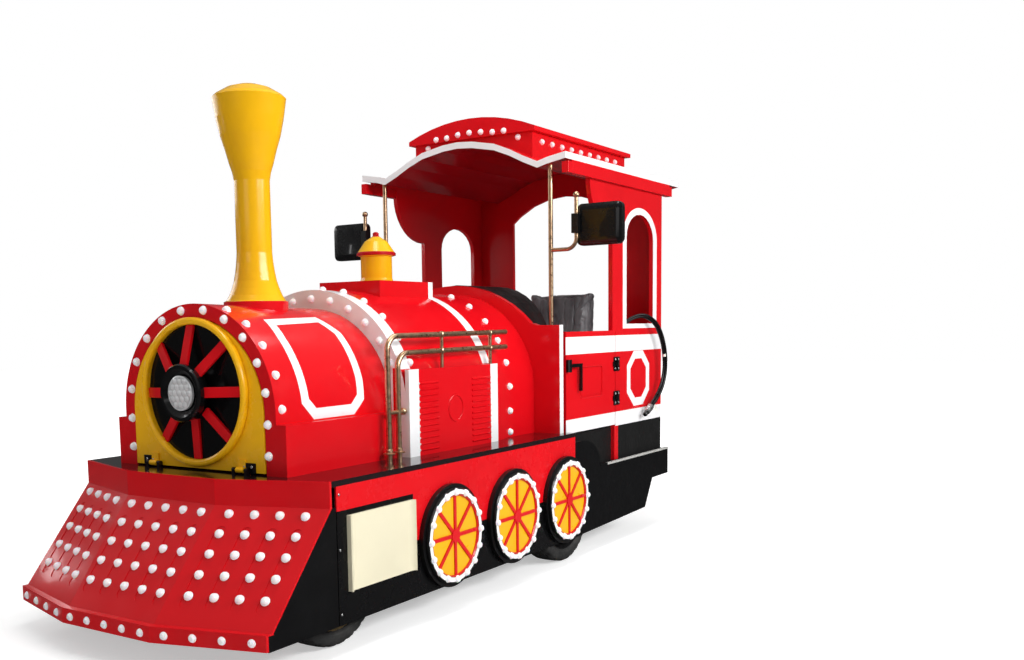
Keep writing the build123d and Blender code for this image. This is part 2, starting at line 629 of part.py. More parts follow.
# --- cable over the window sill -------------------------------------------
cableR = 16.5
cableRoute = [(-985, 598, 716), (-985, 598, 900), (-990, 602, 1120), (-1018, 626, 1312), (-1125, 706, 1375),
              (-1225, 756, 1335), (-1325, 762, 1248), (-1392, 762, 1125), (-1400, 760, 985),
              (-1325, 752, 855), (-1203, 745, 786)]


def cableRadii():
    """Each bend as large as its two runs allow."""
    p = [Vector(*q) for q in cableRoute]
    radii = []
    for a, b, c in zip(p, p[1:], p[2:]):
        turn = (b - a).get_angle(c - b)
        radii.append(0.45 * min((b - a).length, (c - b).length) / tan(radians(turn) / 2))
    return radii


def cable():
    radii = cableRadii()
    print("cable radii", [round(r) for r in radii])
    path = FilletPolyline(*cableRoute, radius=radii)
    s = sweep(Plane(origin=path @ 0, z_dir=path % 0) * Circle(cableR), path=path)
    print("cable length", round(path.length), "volume ratio", round(s.volume / (pi * cableR ** 2 * path.length), 4))
    return s


def cableGland():
    x, y, z = cableRoute[0]
    return revZ([(0, 696), (30, 696), (30, 704), (24, 706), (21, z), (0, z)], x, y)


def cablePlug():
    """Cable connector: a collar, a ribbed grip and a narrower nose."""
    end, before = Vector(*cableRoute[-1]), Vector(*cableRoute[-2])
    along = (end - before).normalized()
    profile = [(0, 0), (20, 0), (22, 3), (22, 22), (18, 26), (18, 34), (21, 37), (21, 58), (15, 64), (15, 92), (12, 96), (0, 96)]
    f = Plane.XZ * make_face(Polyline(*profile, close=True))
    return Plane(origin=end, z_dir=along).location * revolve(f, Axis.Z)


out("chassis_frame", chassisFrame())
out("front_axle_beam", frontAxle())
out("knuckle_left", knuckle(1))
out("knuckle_right", knuckle(-1))
out("rear_axle", rearAxle())
for end, x, yc in (("front", frontAxleX, frontTrackY), ("rear", rearAxleX, rearTrackY)):
    for side, sy in (("left", 1), ("right", -1)):
        out(f"rim_{end}_{side}", rim(x, sy, yc))
        out(f"tyre_{end}_{side}", tyre(x, sy, yc))
out("battery_block", batteryBlock())
out("plow_panel", plow())
out("plow_sides", plowSides())
out("deck_plate", deckPlate())
out("side_skirts", sideSkirts())
out("rear_skirts", rearSkirts())
out("decorative_wheels", decoWheels())
out("service_covers", serviceCovers())
out("smokebox", smokebox())
out("smokebox_door", smokeDoor())
out("door_spokes", doorSpokes())
out("headlight", headlight())
out("boiler_middle", midBoiler())
out("firebox", firebox())
out("steam_dome", steamDome())
out("chimney", chimney())
out("cab_bulkhead", bulkhead())
out("dash_console", dashConsole())
out("cab_floor", cabFloor())
out("cab_sills", sills())
out("cab_door_left", doorPanel(1))
out("cab_door_right", doorPanel(-1))
out("cab_side_left", sidePanel(1))
out("cab_side_right", sidePanel(-1))
out("cab_rear_wall", rearWall())
out("roof_panel", roofPanel())
out("clerestory", clerestory())
out("roof_posts", roofPosts())
out("driver_seat", seat())
out("steering_wheel", steeringWheel())
out("handrails", handrails())
out("side_cable", cable())
out("cable_gland", cableGland())
out("cable_plug", cablePlug())

for name, shape in nodes.items():
    moved = Pos(shift, 0, 0) * shape
    bb = moved.bounding_box()
    print(name, len(moved.solids()), "solids", [round(v) for v in (bb.min.X, bb.min.Y, bb.min.Z, bb.max.X, bb.max.Y, bb.max.Z)])
    export_step(moved, f"parts/{name}.step")
print(len(nodes), "nodes")
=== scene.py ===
from math import cos, exp, pi, radians, sin, sqrt

import bmesh
import bpy
from mathutils import Matrix, Vector, noise


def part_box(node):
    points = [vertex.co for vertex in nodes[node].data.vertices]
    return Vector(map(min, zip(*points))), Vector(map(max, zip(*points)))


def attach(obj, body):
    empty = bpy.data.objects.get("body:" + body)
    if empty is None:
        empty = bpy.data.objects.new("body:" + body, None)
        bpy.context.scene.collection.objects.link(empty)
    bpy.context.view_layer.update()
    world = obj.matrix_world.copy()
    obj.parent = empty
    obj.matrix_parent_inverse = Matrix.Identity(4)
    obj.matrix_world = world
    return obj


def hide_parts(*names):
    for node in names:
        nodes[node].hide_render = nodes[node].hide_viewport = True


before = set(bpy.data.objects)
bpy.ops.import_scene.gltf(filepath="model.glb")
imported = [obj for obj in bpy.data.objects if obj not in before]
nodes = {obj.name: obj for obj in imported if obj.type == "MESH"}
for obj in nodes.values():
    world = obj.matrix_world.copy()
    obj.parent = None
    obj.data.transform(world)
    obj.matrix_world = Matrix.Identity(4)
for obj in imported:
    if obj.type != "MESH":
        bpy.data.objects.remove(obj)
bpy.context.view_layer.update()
back = 0.36525
sides = (("left", 1), ("right", -1))
ahead = (1, 0, 0)
aside = (0, 1, 0)


def at(x, y, z):
    return Vector((x - back, y, z))


# camera and studio
cameraFacts = {
    "place": (5.0224, 3.4261, 1.3123),
    "yaw": 214.1507,
    "pitch": -6.1801,
    "roll": -0.9502,
    "focal": 1042.06,
    "centre": (451.94, 439.79),
    "frame": (1024, 660),
    "sensor": 36,
}


def makeCamera(facts):
    data = bpy.data.cameras.new("camera")
    camera = bpy.data.objects.new("camera", data)
    bpy.context.scene.collection.objects.link(camera)
    yaw, pitch, roll = (radians(facts[k]) for k in ("yaw", "pitch", "roll"))
    forward = Vector((cos(yaw) * cos(pitch), sin(yaw) * cos(pitch), sin(pitch)))
    right = forward.cross(Vector((0, 0, 1))).normalized()
    up = right.cross(forward)
    rolledRight = right * cos(roll) + up * sin(roll)
    rolledUp = up * cos(roll) - right * sin(roll)
    turn = Matrix((rolledRight, rolledUp, -forward)).transposed()
    camera.matrix_world = Matrix.Translation(at(*facts["place"])) @ turn.to_4x4()
    wide, high = facts["frame"]
    data.sensor_width = facts["sensor"]
    data.sensor_fit = "HORIZONTAL"
    data.lens = facts["focal"] / wide * facts["sensor"]
    data.shift_x = (wide / 2 - facts["centre"][0]) / wide
    data.shift_y = (facts["centre"][1] - high / 2) / wide
    data.clip_end = 200
    bpy.context.scene.camera = camera


makeCamera(cameraFacts)

studio = {"backdrop": 1.0, "diffuse": 0.38, "glossLow": 0.07, "glossHigh": 0.34, "stops": (0.12, 0.85)}


# white to the camera, even on matt surfaces, and a darker room with a bright ceiling in reflections
def makeStudio(facts):
    world = bpy.data.worlds.new("studio")
    bpy.context.scene.world = world
    world.use_nodes = True
    tree = world.node_tree
    tree.nodes.clear()
    new, link = tree.nodes.new, tree.links.new
    coord, split, ramp = new("ShaderNodeTexCoord"), new("ShaderNodeSeparateXYZ"), new("ShaderNodeValToRGB")
    link(coord.outputs["Generated"], split.inputs[0])
    link(split.outputs["Z"], ramp.inputs[0])
    for stop, place, level in zip(ramp.color_ramp.elements, facts["stops"], ("glossLow", "glossHigh")):
        stop.position = place
        stop.color = (facts[level],) * 3 + (1,)
    path, out = new("ShaderNodeLightPath"), new("ShaderNodeOutputWorld")
    shades = {}
    for name, level in (("matt", "diffuse"), ("seen", "backdrop"), ("shiny", None)):
        shades[name] = new("ShaderNodeBackground")
        if level:
            shades[name].inputs[0].default_value = (facts[level],) * 3 + (1,)
    link(ramp.outputs[0], shades["shiny"].inputs[0])
    glossy, seen = new("ShaderNodeMixShader"), new("ShaderNodeMixShader")
    link(path.outputs["Is Glossy Ray"], glossy.inputs[0])
    link(shades["matt"].outputs[0], glossy.inputs[1])
    link(shades["shiny"].outputs[0], glossy.inputs[2])
    link(path.outputs["Is Camera Ray"], seen.inputs[0])
    link(glossy.outputs[0], seen.inputs[1])
    link(shades["seen"].outputs[0], seen.inputs[2])
    link(seen.outputs[0], out.inputs[0])
    bpy.context.scene.view_settings.view_transform = "Standard"
    bpy.context.scene.view_settings.look = "None"


makeStudio(studio)

lamps = {
    "side_key": {"place": (0.4, 6.2, 3.6), "aim": (0.2, 0, 0.9), "size": (5.5, 1.5), "power": 360},
    "overhead": {"place": (0.4, 0.8, 5.6), "aim": (0.3, 0, 0.6), "size": (6.0, 1.0), "power": 150},
    "front": {"place": (6.6, 0.4, 2.6), "aim": (1.5, 0, 0.8), "size": (2.6, 0.7), "power": 8},
    "plow_glint": {"place": (3.8, -4.0, 2.1), "aim": (2.3, 0, 0.4), "size": (0.08, 0.5), "power": 1.2},
    "corner_glint": {"place": (2.2, -4.6, 1.3), "aim": (2.2, -0.5, 0.4), "size": (0.4, 0.12), "power": 0.7},
    "far_side": {"place": (1.0, -5.5, 3.2), "aim": (0.5, 0, 0.8), "size": (5.0, 1.4), "power": 60},
}


def makeLamps(facts):
    for name, one in facts.items():
        data = bpy.data.lights.new(name, "AREA")
        data.shape = "RECTANGLE"
        data.size, data.size_y = one["size"]
        data.energy = one["power"]
        lamp = bpy.data.objects.new(name, data)
        bpy.context.scene.collection.objects.link(lamp)
        lamp.location = at(*one["place"])
        lamp.rotation_euler = (at(*one["aim"]) - lamp.location).to_track_quat("-Z", "Y").to_euler()


makeLamps(lamps)


# materials
class Shader:
    def __init__(self, name):
        self.material = bpy.data.materials.new(name)
        self.material.use_nodes = True
        self.tree = self.material.node_tree
        self.surface = self.tree.nodes["Principled BSDF"]
        coord = self.add("ShaderNodeTexCoord")
        self.place = coord.outputs["Object"]
        split = self.add("ShaderNodeSeparateXYZ")
        self.join(self.place, split.inputs[0])
        self.x, self.y, self.z = split.outputs
        self.side = self.sum("ABSOLUTE", self.y)

    def add(self, kind):
        return self.tree.nodes.new(kind)

    def join(self, a, b):
        self.tree.links.new(a, b)

    def feed(self, value, socket):
        if isinstance(value, bpy.types.NodeSocket):
            self.join(value, socket)
        else:
            socket.default_value = value

    def feedColour(self, value, socket):
        self.feed(value if isinstance(value, bpy.types.NodeSocket) else tuple(value) + (1,), socket)

    def put(self, name, value):
        self.feed(value, self.surface.inputs[name])

    def sum(self, operation, a, b=0.0, c=0.0):
        node = self.add("ShaderNodeMath")
        node.operation = operation
        for value, socket in zip((a, b, c), node.inputs):
            self.feed(value, socket)
        return node.outputs[0]

    def above(self, value, limit):
        return self.sum("GREATER_THAN", value, limit)

    def below(self, value, limit):
        return self.sum("LESS_THAN", value, limit)

    def both(self, *masks):
        whole = masks[0]
        for mask in masks[1:]:
            whole = self.sum("MULTIPLY", whole, mask)
        return whole

    def either(self, *masks):
        whole = masks[0]
        for mask in masks[1:]:
            whole = self.sum("MAXIMUM", whole, mask)
        return whole

    def between(self, value, low, high):
        return self.both(self.above(value, low), self.below(value, high))

    def noise(self, scale, detail=3.0, roughness=0.5, stretch=None):
        node = self.add("ShaderNodeTexNoise")
        source = self.place
        if stretch:
            mapping = self.add("ShaderNodeMapping")
            mapping.inputs["Scale"].default_value = stretch
            self.join(source, mapping.inputs[0])
            source = mapping.outputs[0]
        self.join(source, node.inputs["Vector"])
        node.inputs["Scale"].default_value = scale
        node.inputs["Detail"].default_value = detail
        node.inputs["Roughness"].default_value = roughness
        return node.outputs["Fac"]

    def remap(self, value, low, high, fromLow=0.3, fromHigh=0.7):
        node = self.add("ShaderNodeMapRange")
        self.join(value, node.inputs[0])
        for socket, number in zip(node.inputs[1:5], (fromLow, fromHigh, low, high)):
            socket.default_value = number
        return node.outputs[0]

    def mix(self, mask, a, b):
        node = self.add("ShaderNodeMix")
        node.data_type = "RGBA"
        self.feed(mask, node.inputs[0])
        for value, socket in ((a, node.inputs[6]), (b, node.inputs[7])):
            self.feedColour(value, socket)
        return node.outputs[2]

    def tint(self, colour, value):
        node = self.add("ShaderNodeHueSaturation")
        self.join(value, node.inputs["Value"])
        self.feedColour(colour, node.inputs["Color"])
        return node.outputs[0]

    def bump(self, *layers):
        normal = None
        for height, strength, distance in layers:
            node = self.add("ShaderNodeBump")
            node.inputs["Strength"].default_value = strength
            node.inputs["Distance"].default_value = distance
            self.join(height, node.inputs["Height"])
            if normal:
                self.join(normal, node.inputs["Normal"])
            normal = node.outputs[0]
        self.join(normal, self.surface.inputs["Normal"])


colours = {
    "red": (0.68, 0.004, 0.009),
    # a darker red used as painted shade on the roof's downward faces
    "undersideShadeRed": (0.30, 0.002, 0.006),
    "yellow": (0.86, 0.46, 0.006),
    "white": (0.88, 0.88, 0.89),
    "cream": (0.76, 0.71, 0.52),
    "black": (0.004, 0.004, 0.0045),
    "softBlack": (0.010, 0.010, 0.010),
    # the faint red in this near-black is painted reflection of the red bodywork
    "deck": (0.010, 0.005, 0.006),
    "bulb": (0.90, 0.88, 0.91),
    "brass": (0.66, 0.44, 0.27),
    "alloy": (0.62, 0.62, 0.62),
}


# gloss paint: faint colour drift, dust in the gloss, wavy sheet and orange peel
def paint(name, colour=None, rough=0.16, coat=0.2, wave=0.35, paintMap=None, shine=0.3):
    s = Shader(name)
    base = paintMap(s) if paintMap else tuple(colour)
    s.put("Base Color", s.tint(base, s.remap(s.noise(2.4, 4.0), 0.95, 1.05)))
    dust = s.noise(9.0, 6.0, 0.65)
    s.put("Roughness", s.remap(dust, rough * 0.8, rough * 1.6))
    s.put("Specular IOR Level", shine)
    s.put("Coat Weight", coat)
    s.put("Coat Roughness", 0.04)
    s.bump((s.noise(2.2, 2.0), wave, 0.004), (s.noise(420.0, 2.0), 0.06, 0.0004))
    return s.material


# 1 on an oval's edge, less inside it
def ovalValue(s, x, z, wide, high):
    u = s.sum("DIVIDE", s.sum("SUBTRACT", s.x, x - back), wide)
    v = s.sum("DIVIDE", s.sum("SUBTRACT", s.z, z), high)
    return s.sum("ADD", s.sum("MULTIPLY", u, u), s.sum("MULTIPLY", v, v))


plowFoot = {"front": 2.4589, "straight": 0.268, "lean": 0.2915}


# the lamp seats on the foot flange are white; they show at the tops of its bulbs
def plowMap(s):
    aside = s.sum("MAXIMUM", s.sum("SUBTRACT", s.side, plowFoot["straight"]), 0.0)
    reach = s.sum("ADD", s.x, s.sum("MULTIPLY", aside, plowFoot["lean"]))
    return s.mix(s.above(reach, plowFoot["front"] - back), colours["red"], colours["bulb"])


skirt = {"boxEdge": 1.387, "highBlack": 0.589, "lowBlack": 0.378}


def skirtMap(s):
    front = s.above(s.x, skirt["boxEdge"] - back)
    high = s.both(front, s.below(s.z, skirt["highBlack"]))
    return s.mix(s.either(high, s.below(s.z, skirt["lowBlack"])), colours["red"], colours["black"])


boiler = {"faceX": 1.170, "bandX": 1.093, "stripe": (0.394, 0.463), "boxTop": 1.1195, "boxSide": 0.566,
          "gap": (0.487, 0.527), "gapTop": 1.127, "faceSkin": 0.0015, "topSkin": 0.002}


def boilerMap(s):
    face = s.above(s.x, boiler["faceX"] - boiler["faceSkin"] - back)
    gap = s.both(face, s.between(s.side, *boiler["gap"]), s.below(s.z, boiler["gapTop"]))
    band = s.above(s.x, boiler["bandX"] - back)
    stripe = s.between(s.x, *(x - back for x in boiler["stripe"]))
    outer = s.either(s.above(s.z, boiler["boxTop"] + boiler["topSkin"]), s.above(s.side, boiler["boxSide"]))
    white = s.both(s.either(face, s.both(s.either(band, stripe), outer)), s.below(gap, 0.5))
    return s.mix(white, colours["red"], colours["white"])


window = {"x": -1.1375, "spring": 1.84, "foot": 1.286, "wide": 0.2575, "high": 0.190}
octagon = {"x": -1.1105, "z": 0.9725, "wide": 0.1685, "high": 0.1725, "corner": (0.0875, 0.1005, 0.02329),
           "band": 0.050}
cabWall = {"inner": 0.6985, "skin": 0.7004, "metal": 0.7008, "metalTop": 1.30, "band": (1.147, 1.245),
           "foot": 0.782, "lap": 0.001}


# inside the eight-sided outline on the cab's side, drawn in by an inset
def octagonMask(s, inset):
    dx = s.sum("ABSOLUTE", s.sum("SUBTRACT", s.x, octagon["x"] - back))
    dz = s.sum("ABSOLUTE", s.sum("SUBTRACT", s.z, octagon["z"]))
    a, b, c = octagon["corner"]
    slant = s.sum("ADD", s.sum("MULTIPLY", dx, a), s.sum("MULTIPLY", dz, b))
    corner = s.below(slant, c - inset * sqrt(a * a + b * b))
    return s.both(s.below(dx, octagon["wide"] - inset), s.below(dz, octagon["high"] - inset), corner)


def cabMap(s):
    flush = s.between(s.side, cabWall["inner"], cabWall["skin"])
    bands = s.either(s.between(s.z, *cabWall["band"]), s.below(s.z, cabWall["foot"]))
    spring, wide = window["spring"], window["wide"]
    middle = window["x"] - back
    upright = s.both(s.between(s.x, middle - wide, middle + wide), s.between(s.z, window["foot"], spring))
    oval = ovalValue(s, window["x"], spring, wide, window["high"])
    crown = s.both(s.above(s.z, spring - cabWall["lap"]), s.below(oval, 1.0))
    ring = s.both(octagonMask(s, 0.0), s.below(octagonMask(s, octagon["band"]), 0.5))
    metal = s.both(s.above(s.side, cabWall["metal"]), s.below(s.z, cabWall["metalTop"]))
    white = s.both(flush, s.either(bands, upright, crown, ring))
    return s.mix(metal, s.mix(white, colours["red"], colours["white"]), colours["black"])


roof = {"side": 0.7035, "front": -0.1325, "rear": -1.7375, "under": -0.3, "upright": 0.5}


def roofMap(s):
    geometry, split = s.add("ShaderNodeNewGeometry"), s.add("ShaderNodeSeparateXYZ")
    s.join(geometry.outputs["True Normal"], split.inputs[0])
    upward = split.outputs[2]
    ends = s.either(s.above(s.x, roof["front"] - back), s.below(s.x, roof["rear"] - back))
    rim = s.either(s.above(s.side, roof["side"]), ends)
    # faces that point down are painted a darker red: painted shade on the roof's underside
    faces = s.mix(s.below(upward, roof["under"]), colours["red"], colours["undersideShadeRed"])
    return s.mix(s.both(rim, s.below(s.sum("ABSOLUTE", upward), roof["upright"])), faces, colours["white"])


def bulkheadMap(s):
    return s.mix(s.above(s.side, cabWall["inner"]), colours["red"], colours["white"])


sill = {"post": (-0.8125, -0.7595), "side": 0.66}


def sillMap(s):
    post = s.both(s.between(s.x, *(x - back for x in sill["post"])), s.above(s.side, sill["side"]))
    return s.mix(post, colours["softBlack"], colours["red"])


chimneyFoot = 1.4415


def chimneyMap(s):
    return s.mix(s.below(s.z, chimneyFoot), colours["yellow"], colours["red"])


dome = {"lip": (1.688, 1.7075), "knob": 1.7865, "red": (0.45, 0.004, 0.008)}


def domeMap(s):
    red = s.either(s.between(s.z, *dome["lip"]), s.above(s.z, dome["knob"]))
    return s.mix(red, colours["yellow"], dome["red"])


spokeFace = 1.9328


def spokeMap(s):
    return s.mix(s.above(s.x, spokeFace - back), colours["black"], colours["red"])


deco = {
    "x": (1.109, 0.547, -0.015),
    "z": 0.358,
    "ring": (0.1890, 0.2140),
    "rim": 0.1930,
    "drum": 0.7735,
    "disc": 0.7787,
    "shade": (0.30, 0.06, 0.02),
    "lamps": 16,
    "lampR": 0.203,
    "lampY": 0.790,
    "lampSize": 0.9,
}


def decoMap(s):
    radius = None
    for x in deco["x"]:
        one = s.sum("SQRT", ovalValue(s, x, deco["z"], 1.0, 1.0))
        radius = one if radius is None else s.sum("MINIMUM", radius, one)
    disc = s.mix(s.above(s.side, deco["disc"]), colours["yellow"], colours["red"])
    inner, outer = deco["ring"]
    ring = s.both(s.above(radius, inner), s.below(radius, outer), s.above(s.side, deco["drum"]))
    drum = s.either(s.below(s.side, deco["drum"]), s.above(radius, outer))
    # a thin brown line along the ring's inner edge, between the lamps: painted shade
    edge = s.mix(s.below(radius, deco["rim"]), colours["white"], deco["shade"])
    return s.mix(drum, s.mix(ring, disc, edge), colours["black"])


step = {"side": 0.7375, "top": 0.4855, "front": -0.56, "metal": (0.42, 0.42, 0.40)}


def stepMap(s):
    outer = s.both(s.above(s.side, step["side"]), s.above(s.z, step["top"]))
    return s.mix(s.both(outer, s.below(s.x, step["front"] - back)), colours["black"], step["metal"])


post = {"head": 0.733, "headZ": (1.744, 1.973), "headFront": -0.2045, "clamp": 0.7195,
        "clampZ": (1.8145, 1.9205)}


def postMap(s):
    behind = s.below(s.x, post["headFront"] - back)
    head = s.both(s.above(s.side, post["head"]), s.between(s.z, *post["headZ"]), behind)
    return s.either(head, s.both(s.above(s.side, post["clamp"]), s.between(s.z, *post["clampZ"])))


paints = {
    "red_gloss": {"colour": colours["red"]},
    "plow_red": {"paintMap": plowMap},
    "skirt_two_tone": {"paintMap": skirtMap, "coat": 0.05, "shine": 0.2, "rough": 0.22},
    "boiler_red_white": {"paintMap": boilerMap},
    "cab_red_white": {"paintMap": cabMap},
    "roof_red_white": {"paintMap": roofMap},
    "bulkhead_red_white": {"paintMap": bulkheadMap},
    "sill_black": {"paintMap": sillMap, "rough": 0.45, "coat": 0.0, "shine": 0.2},
    "chimney_yellow": {"paintMap": chimneyMap, "wave": 0.15},
    "dome_yellow": {"paintMap": domeMap, "wave": 0.1},
    "spoke_red": {"paintMap": spokeMap, "wave": 0.1, "coat": 0.15, "shine": 0.2},
    "deco_wheel": {"paintMap": decoMap, "wave": 0.1, "rough": 0.3, "coat": 0.3},
    "door_yellow": {"colour": (1.0, 0.52, 0.006), "rough": 0.22, "coat": 0.2, "wave": 0.1},
    "cream_cover": {"colour": colours["cream"], "rough": 0.35, "coat": 0.15},
    "deck_black": {"colour": colours["deck"], "rough": 0.12, "coat": 0.35, "wave": 0.2, "shine": 0.3},
    "satin_black": {"paintMap": stepMap, "rough": 0.42, "coat": 0.0, "shine": 0.15},
    "lamp_black": {"colour": colours["black"], "rough": 0.2, "coat": 0.3, "shine": 0.3},
    "soft_black": {"colour": colours["softBlack"], "rough": 0.55, "coat": 0.0, "shine": 0.25},
    "chassis_black": {"colour": colours["black"], "rough": 0.5, "coat": 0.0, "shine": 0.25},
    "battery_grey": {"colour": (0.12, 0.12, 0.12), "rough": 0.5, "coat": 0.0},
    "line_white": {"colour": colours["white"], "rough": 0.25, "coat": 0.3},
    "paper": {"colour": (0.78, 0.77, 0.70), "rough": 0.6, "coat": 0.0},
    "cable": {"colour": colours["black"], "rough": 0.30, "coat": 0.1, "wave": 0.05},
}
finish = {name: paint(name, **facts) for name, facts in paints.items()}


def brassMaterial(name, maskMap=None):
    s = Shader(name)
    worn = s.remap(s.noise(26.0, 5.0, 0.6), 0.78, 1.12)
    metal = s.tint(colours["brass"], worn)
    if maskMap:
        mask = maskMap(s)
        s.put("Base Color", s.mix(mask, metal, colours["black"]))
        s.put("Metallic", s.sum("SUBTRACT", 1.0, mask))
    else:
        s.put("Base Color", metal)
        s.put("Metallic", 1.0)
    s.put("Roughness", s.remap(s.noise(60.0, 4.0), 0.24, 0.42))
    s.bump((s.noise(180.0, 2.0), 0.08, 0.0005))
    return s.material


finish["brass_tube"] = brassMaterial("brass_tube")
finish["brass_post"] = brassMaterial("brass_post", postMap)


def metalMaterial(name, colour, rough=0.3):
    s = Shader(name)
    s.put("Base Color", s.tint(colour, s.remap(s.noise(40.0, 5.0), 0.85, 1.1)))
    s.put("Metallic", 1.0)
    s.put("Roughness", s.remap(s.noise(70.0, 4.0), rough * 0.8, rough * 1.3))
    s.bump((s.noise(300.0, 2.0), 0.06, 0.0004))
    return s.material


finish["rim_gold"] = metalMaterial("rim_gold", (0.50, 0.36, 0.18), 0.35)
finish["steel"] = metalMaterial("steel", colours["alloy"], 0.28)
finish["rim_dark"] = metalMaterial("rim_dark", (0.030, 0.030, 0.032), 0.5)


def rubberMaterial(name):
    s = Shader(name)
    grime = s.remap(s.noise(8.0, 6.0, 0.7), 0.0, 1.0, 0.45, 0.75)
    s.put("Base Color", s.mix(grime, (0.018, 0.018, 0.018), (0.045, 0.043, 0.040)))
    s.put("Roughness", s.remap(s.noise(30.0, 4.0), 0.6, 0.85))
    s.bump((s.noise(240.0, 3.0), 0.25, 0.0008))
    return s.material


finish["rubber"] = rubberMaterial("tyre_rubber")


def bulbMaterial(name):
    s = Shader(name)
    s.put("Base Color", s.tint(colours["bulb"], s.remap(s.noise(30.0, 3.0), 0.97, 1.03)))
    s.put("Roughness", s.remap(s.noise(60.0, 3.0), 0.22, 0.34))
    # a faint glow that brightens the bulbs: painted light
    s.put("Emission Color", (1.0, 0.97, 1.0, 1))
    s.put("Emission Strength", 0.10)
    s.put("Subsurface Weight", 0.25)
    s.put("Subsurface Scale", 0.01)
    s.put("Coat Weight", 0.4)
    s.put("Coat Roughness", 0.08)
    return s.material


finish["bulb"] = bulbMaterial("milky_bulb")


# crinkled leather: soft folds under a fine grain, with painted shade in the folds' hollows and painted
# light on their crowns
def leatherMaterial(name, low, high):
    s = Shader(name)
    folds = s.noise(9.0, 3.0, 0.55, stretch=(1.0, 1.0, 0.35))
    # colour follows the fold height: darker in the hollows and lighter on the crowns, painted shade and
    # painted light
    s.put("Base Color", s.mix(s.remap(folds, 0.0, 1.0, 0.35, 0.65), low, high))
    s.put("Roughness", s.remap(s.noise(14.0, 3.0), 0.34, 0.55))
    s.put("Specular IOR Level", 0.4)
    s.bump((folds, 0.6, 0.012), (s.noise(260.0, 4.0, 0.6), 0.25, 0.0008))
    return s.material


finish["leather"] = leatherMaterial("grey_leather", (0.060, 0.060, 0.065), (0.230, 0.230, 0.240))
finish["vinyl"] = leatherMaterial("black_vinyl", colours["black"], colours["softBlack"])


def glassMaterial(name, colour, rough, metallic):
    s = Shader(name)
    s.put("Base Color", s.tint(colour, s.remap(s.noise(18.0, 3.0), 0.92, 1.04)))
    s.put("Roughness", s.remap(s.noise(45.0, 3.0), rough, rough * 1.8))
    s.put("Metallic", metallic)
    s.put("Coat Weight", 1.0)
    s.put("Coat Roughness", 0.02)
    return s.material


finish["mirror"] = glassMaterial("mirror_glass", (0.80, 0.82, 0.84), 0.03, 1.0)
finish["lens"] = glassMaterial("lens_clusters", (0.88, 0.89, 0.90), 0.10, 0.30)

dressing = {
    "plow_red": ["plow_panel"],
    "red_gloss": ["smokebox", "firebox", "clerestory", "cab_rear_wall"],
    "skirt_two_tone": ["side_skirts"],
    "boiler_red_white": ["boiler_middle"],
    "cab_red_white": ["cab_door_left", "cab_door_right", "cab_side_left", "cab_side_right"],
    "roof_red_white": ["roof_panel"],
    "bulkhead_red_white": ["cab_bulkhead"],
    "sill_black": ["cab_sills"],
    "chimney_yellow": ["chimney"],
    "dome_yellow": ["steam_dome"],
    "spoke_red": ["door_spokes"],
    "deco_wheel": ["decorative_wheels"],
    "door_yellow": ["smokebox_door"],
    "cream_cover": ["service_covers"],
    "deck_black": ["deck_plate"],
    "satin_black": ["rear_skirts", "plow_sides"],
    "lamp_black": ["headlight"],
    "soft_black": ["steering_wheel", "cab_floor"],
    "vinyl": ["dash_console"],
    "chassis_black": ["chassis_frame", "front_axle_beam", "knuckle_left", "knuckle_right", "rear_axle"],
    "battery_grey": ["battery_block"],
    "brass_tube": ["handrails"],
    "brass_post": ["roof_posts"],
    "steel": ["cable_gland"],
    "rim_gold": ["rim_front_left", "rim_front_right"],
    "rim_dark": ["rim_rear_left", "rim_rear_right"],
    "rubber": ["tyre_front_left", "tyre_front_right", "tyre_rear_left", "tyre_rear_right"],
}


def dress(facts):
    for name, members in facts.items():
        for member in members:
            if member in nodes:
                mesh = nodes[member].data
                mesh.materials.clear()
                mesh.materials.append(finish[name])


dress(dressing)
print("stage: materials")


# mesh helpers
def addPiece(name, shape, material, body="chassis", angle=35):
    mesh = meshFrom(shape, name) if isinstance(shape, bmesh.types.BMesh) else shape
    piece = bpy.data.objects.new(name, mesh)
    bpy.context.scene.collection.objects.link(piece)
    if not mesh.materials:
        mesh.materials.append(material)
    mesh.shade_smooth()
    mesh.set_sharp_from_angle(angle=radians(angle))
    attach(piece, body)
    return piece


def meshFrom(bm, name):
    bmesh.ops.recalc_face_normals(bm, faces=bm.faces)
    mesh = bpy.data.meshes.new(name)
    bm.to_mesh(mesh)
    bm.free()
    return mesh


def basis(normal):
    n = Vector(normal).normalized()
    side = Vector((0, 0, 1)) if abs(n.z) < 0.9 else Vector((1, 0, 0))
    u = side.cross(n).normalized()
    return u, n.cross(u), n


# a turned shape: its profile is a row of radius and height along the normal
def revolve(bm, profile, centre, normal, steps=32):
    u, v, n = basis(normal)
    turns = [2 * pi * k / steps for k in range(steps)]
    rings = []
    for radius, height in profile:
        middle = centre + n * height
        if radius < 1e-6:
            rings.append([bm.verts.new(middle)])
        else:
            rings.append([bm.verts.new(middle + (u * cos(t) + v * sin(t)) * radius) for t in turns])
    for low, high in zip(rings, rings[1:]):
        for k in range(steps):
            m = (k + 1) % steps
            if len(low) == 1 and len(high) == 1:
                break
            if len(low) == 1:
                bm.faces.new((low[0], high[m], high[k]))
            elif len(high) == 1:
                bm.faces.new((low[k], low[m], high[0]))
            else:
                bm.faces.new((low[k], low[m], high[m], high[k]))


# faces between each ring of vertices and the next
def bridge(bm, rings):
    for low, high in zip(rings, rings[1:]):
        for k, vertex in enumerate(low):
            m = (k + 1) % len(low)
            bm.faces.new((vertex, low[m], high[m], high[k]))


def bothSides(x, y, z, normal):
    return [(at(x, e * y, z), (normal[0], e * normal[1], normal[2])) for _, e in sides]


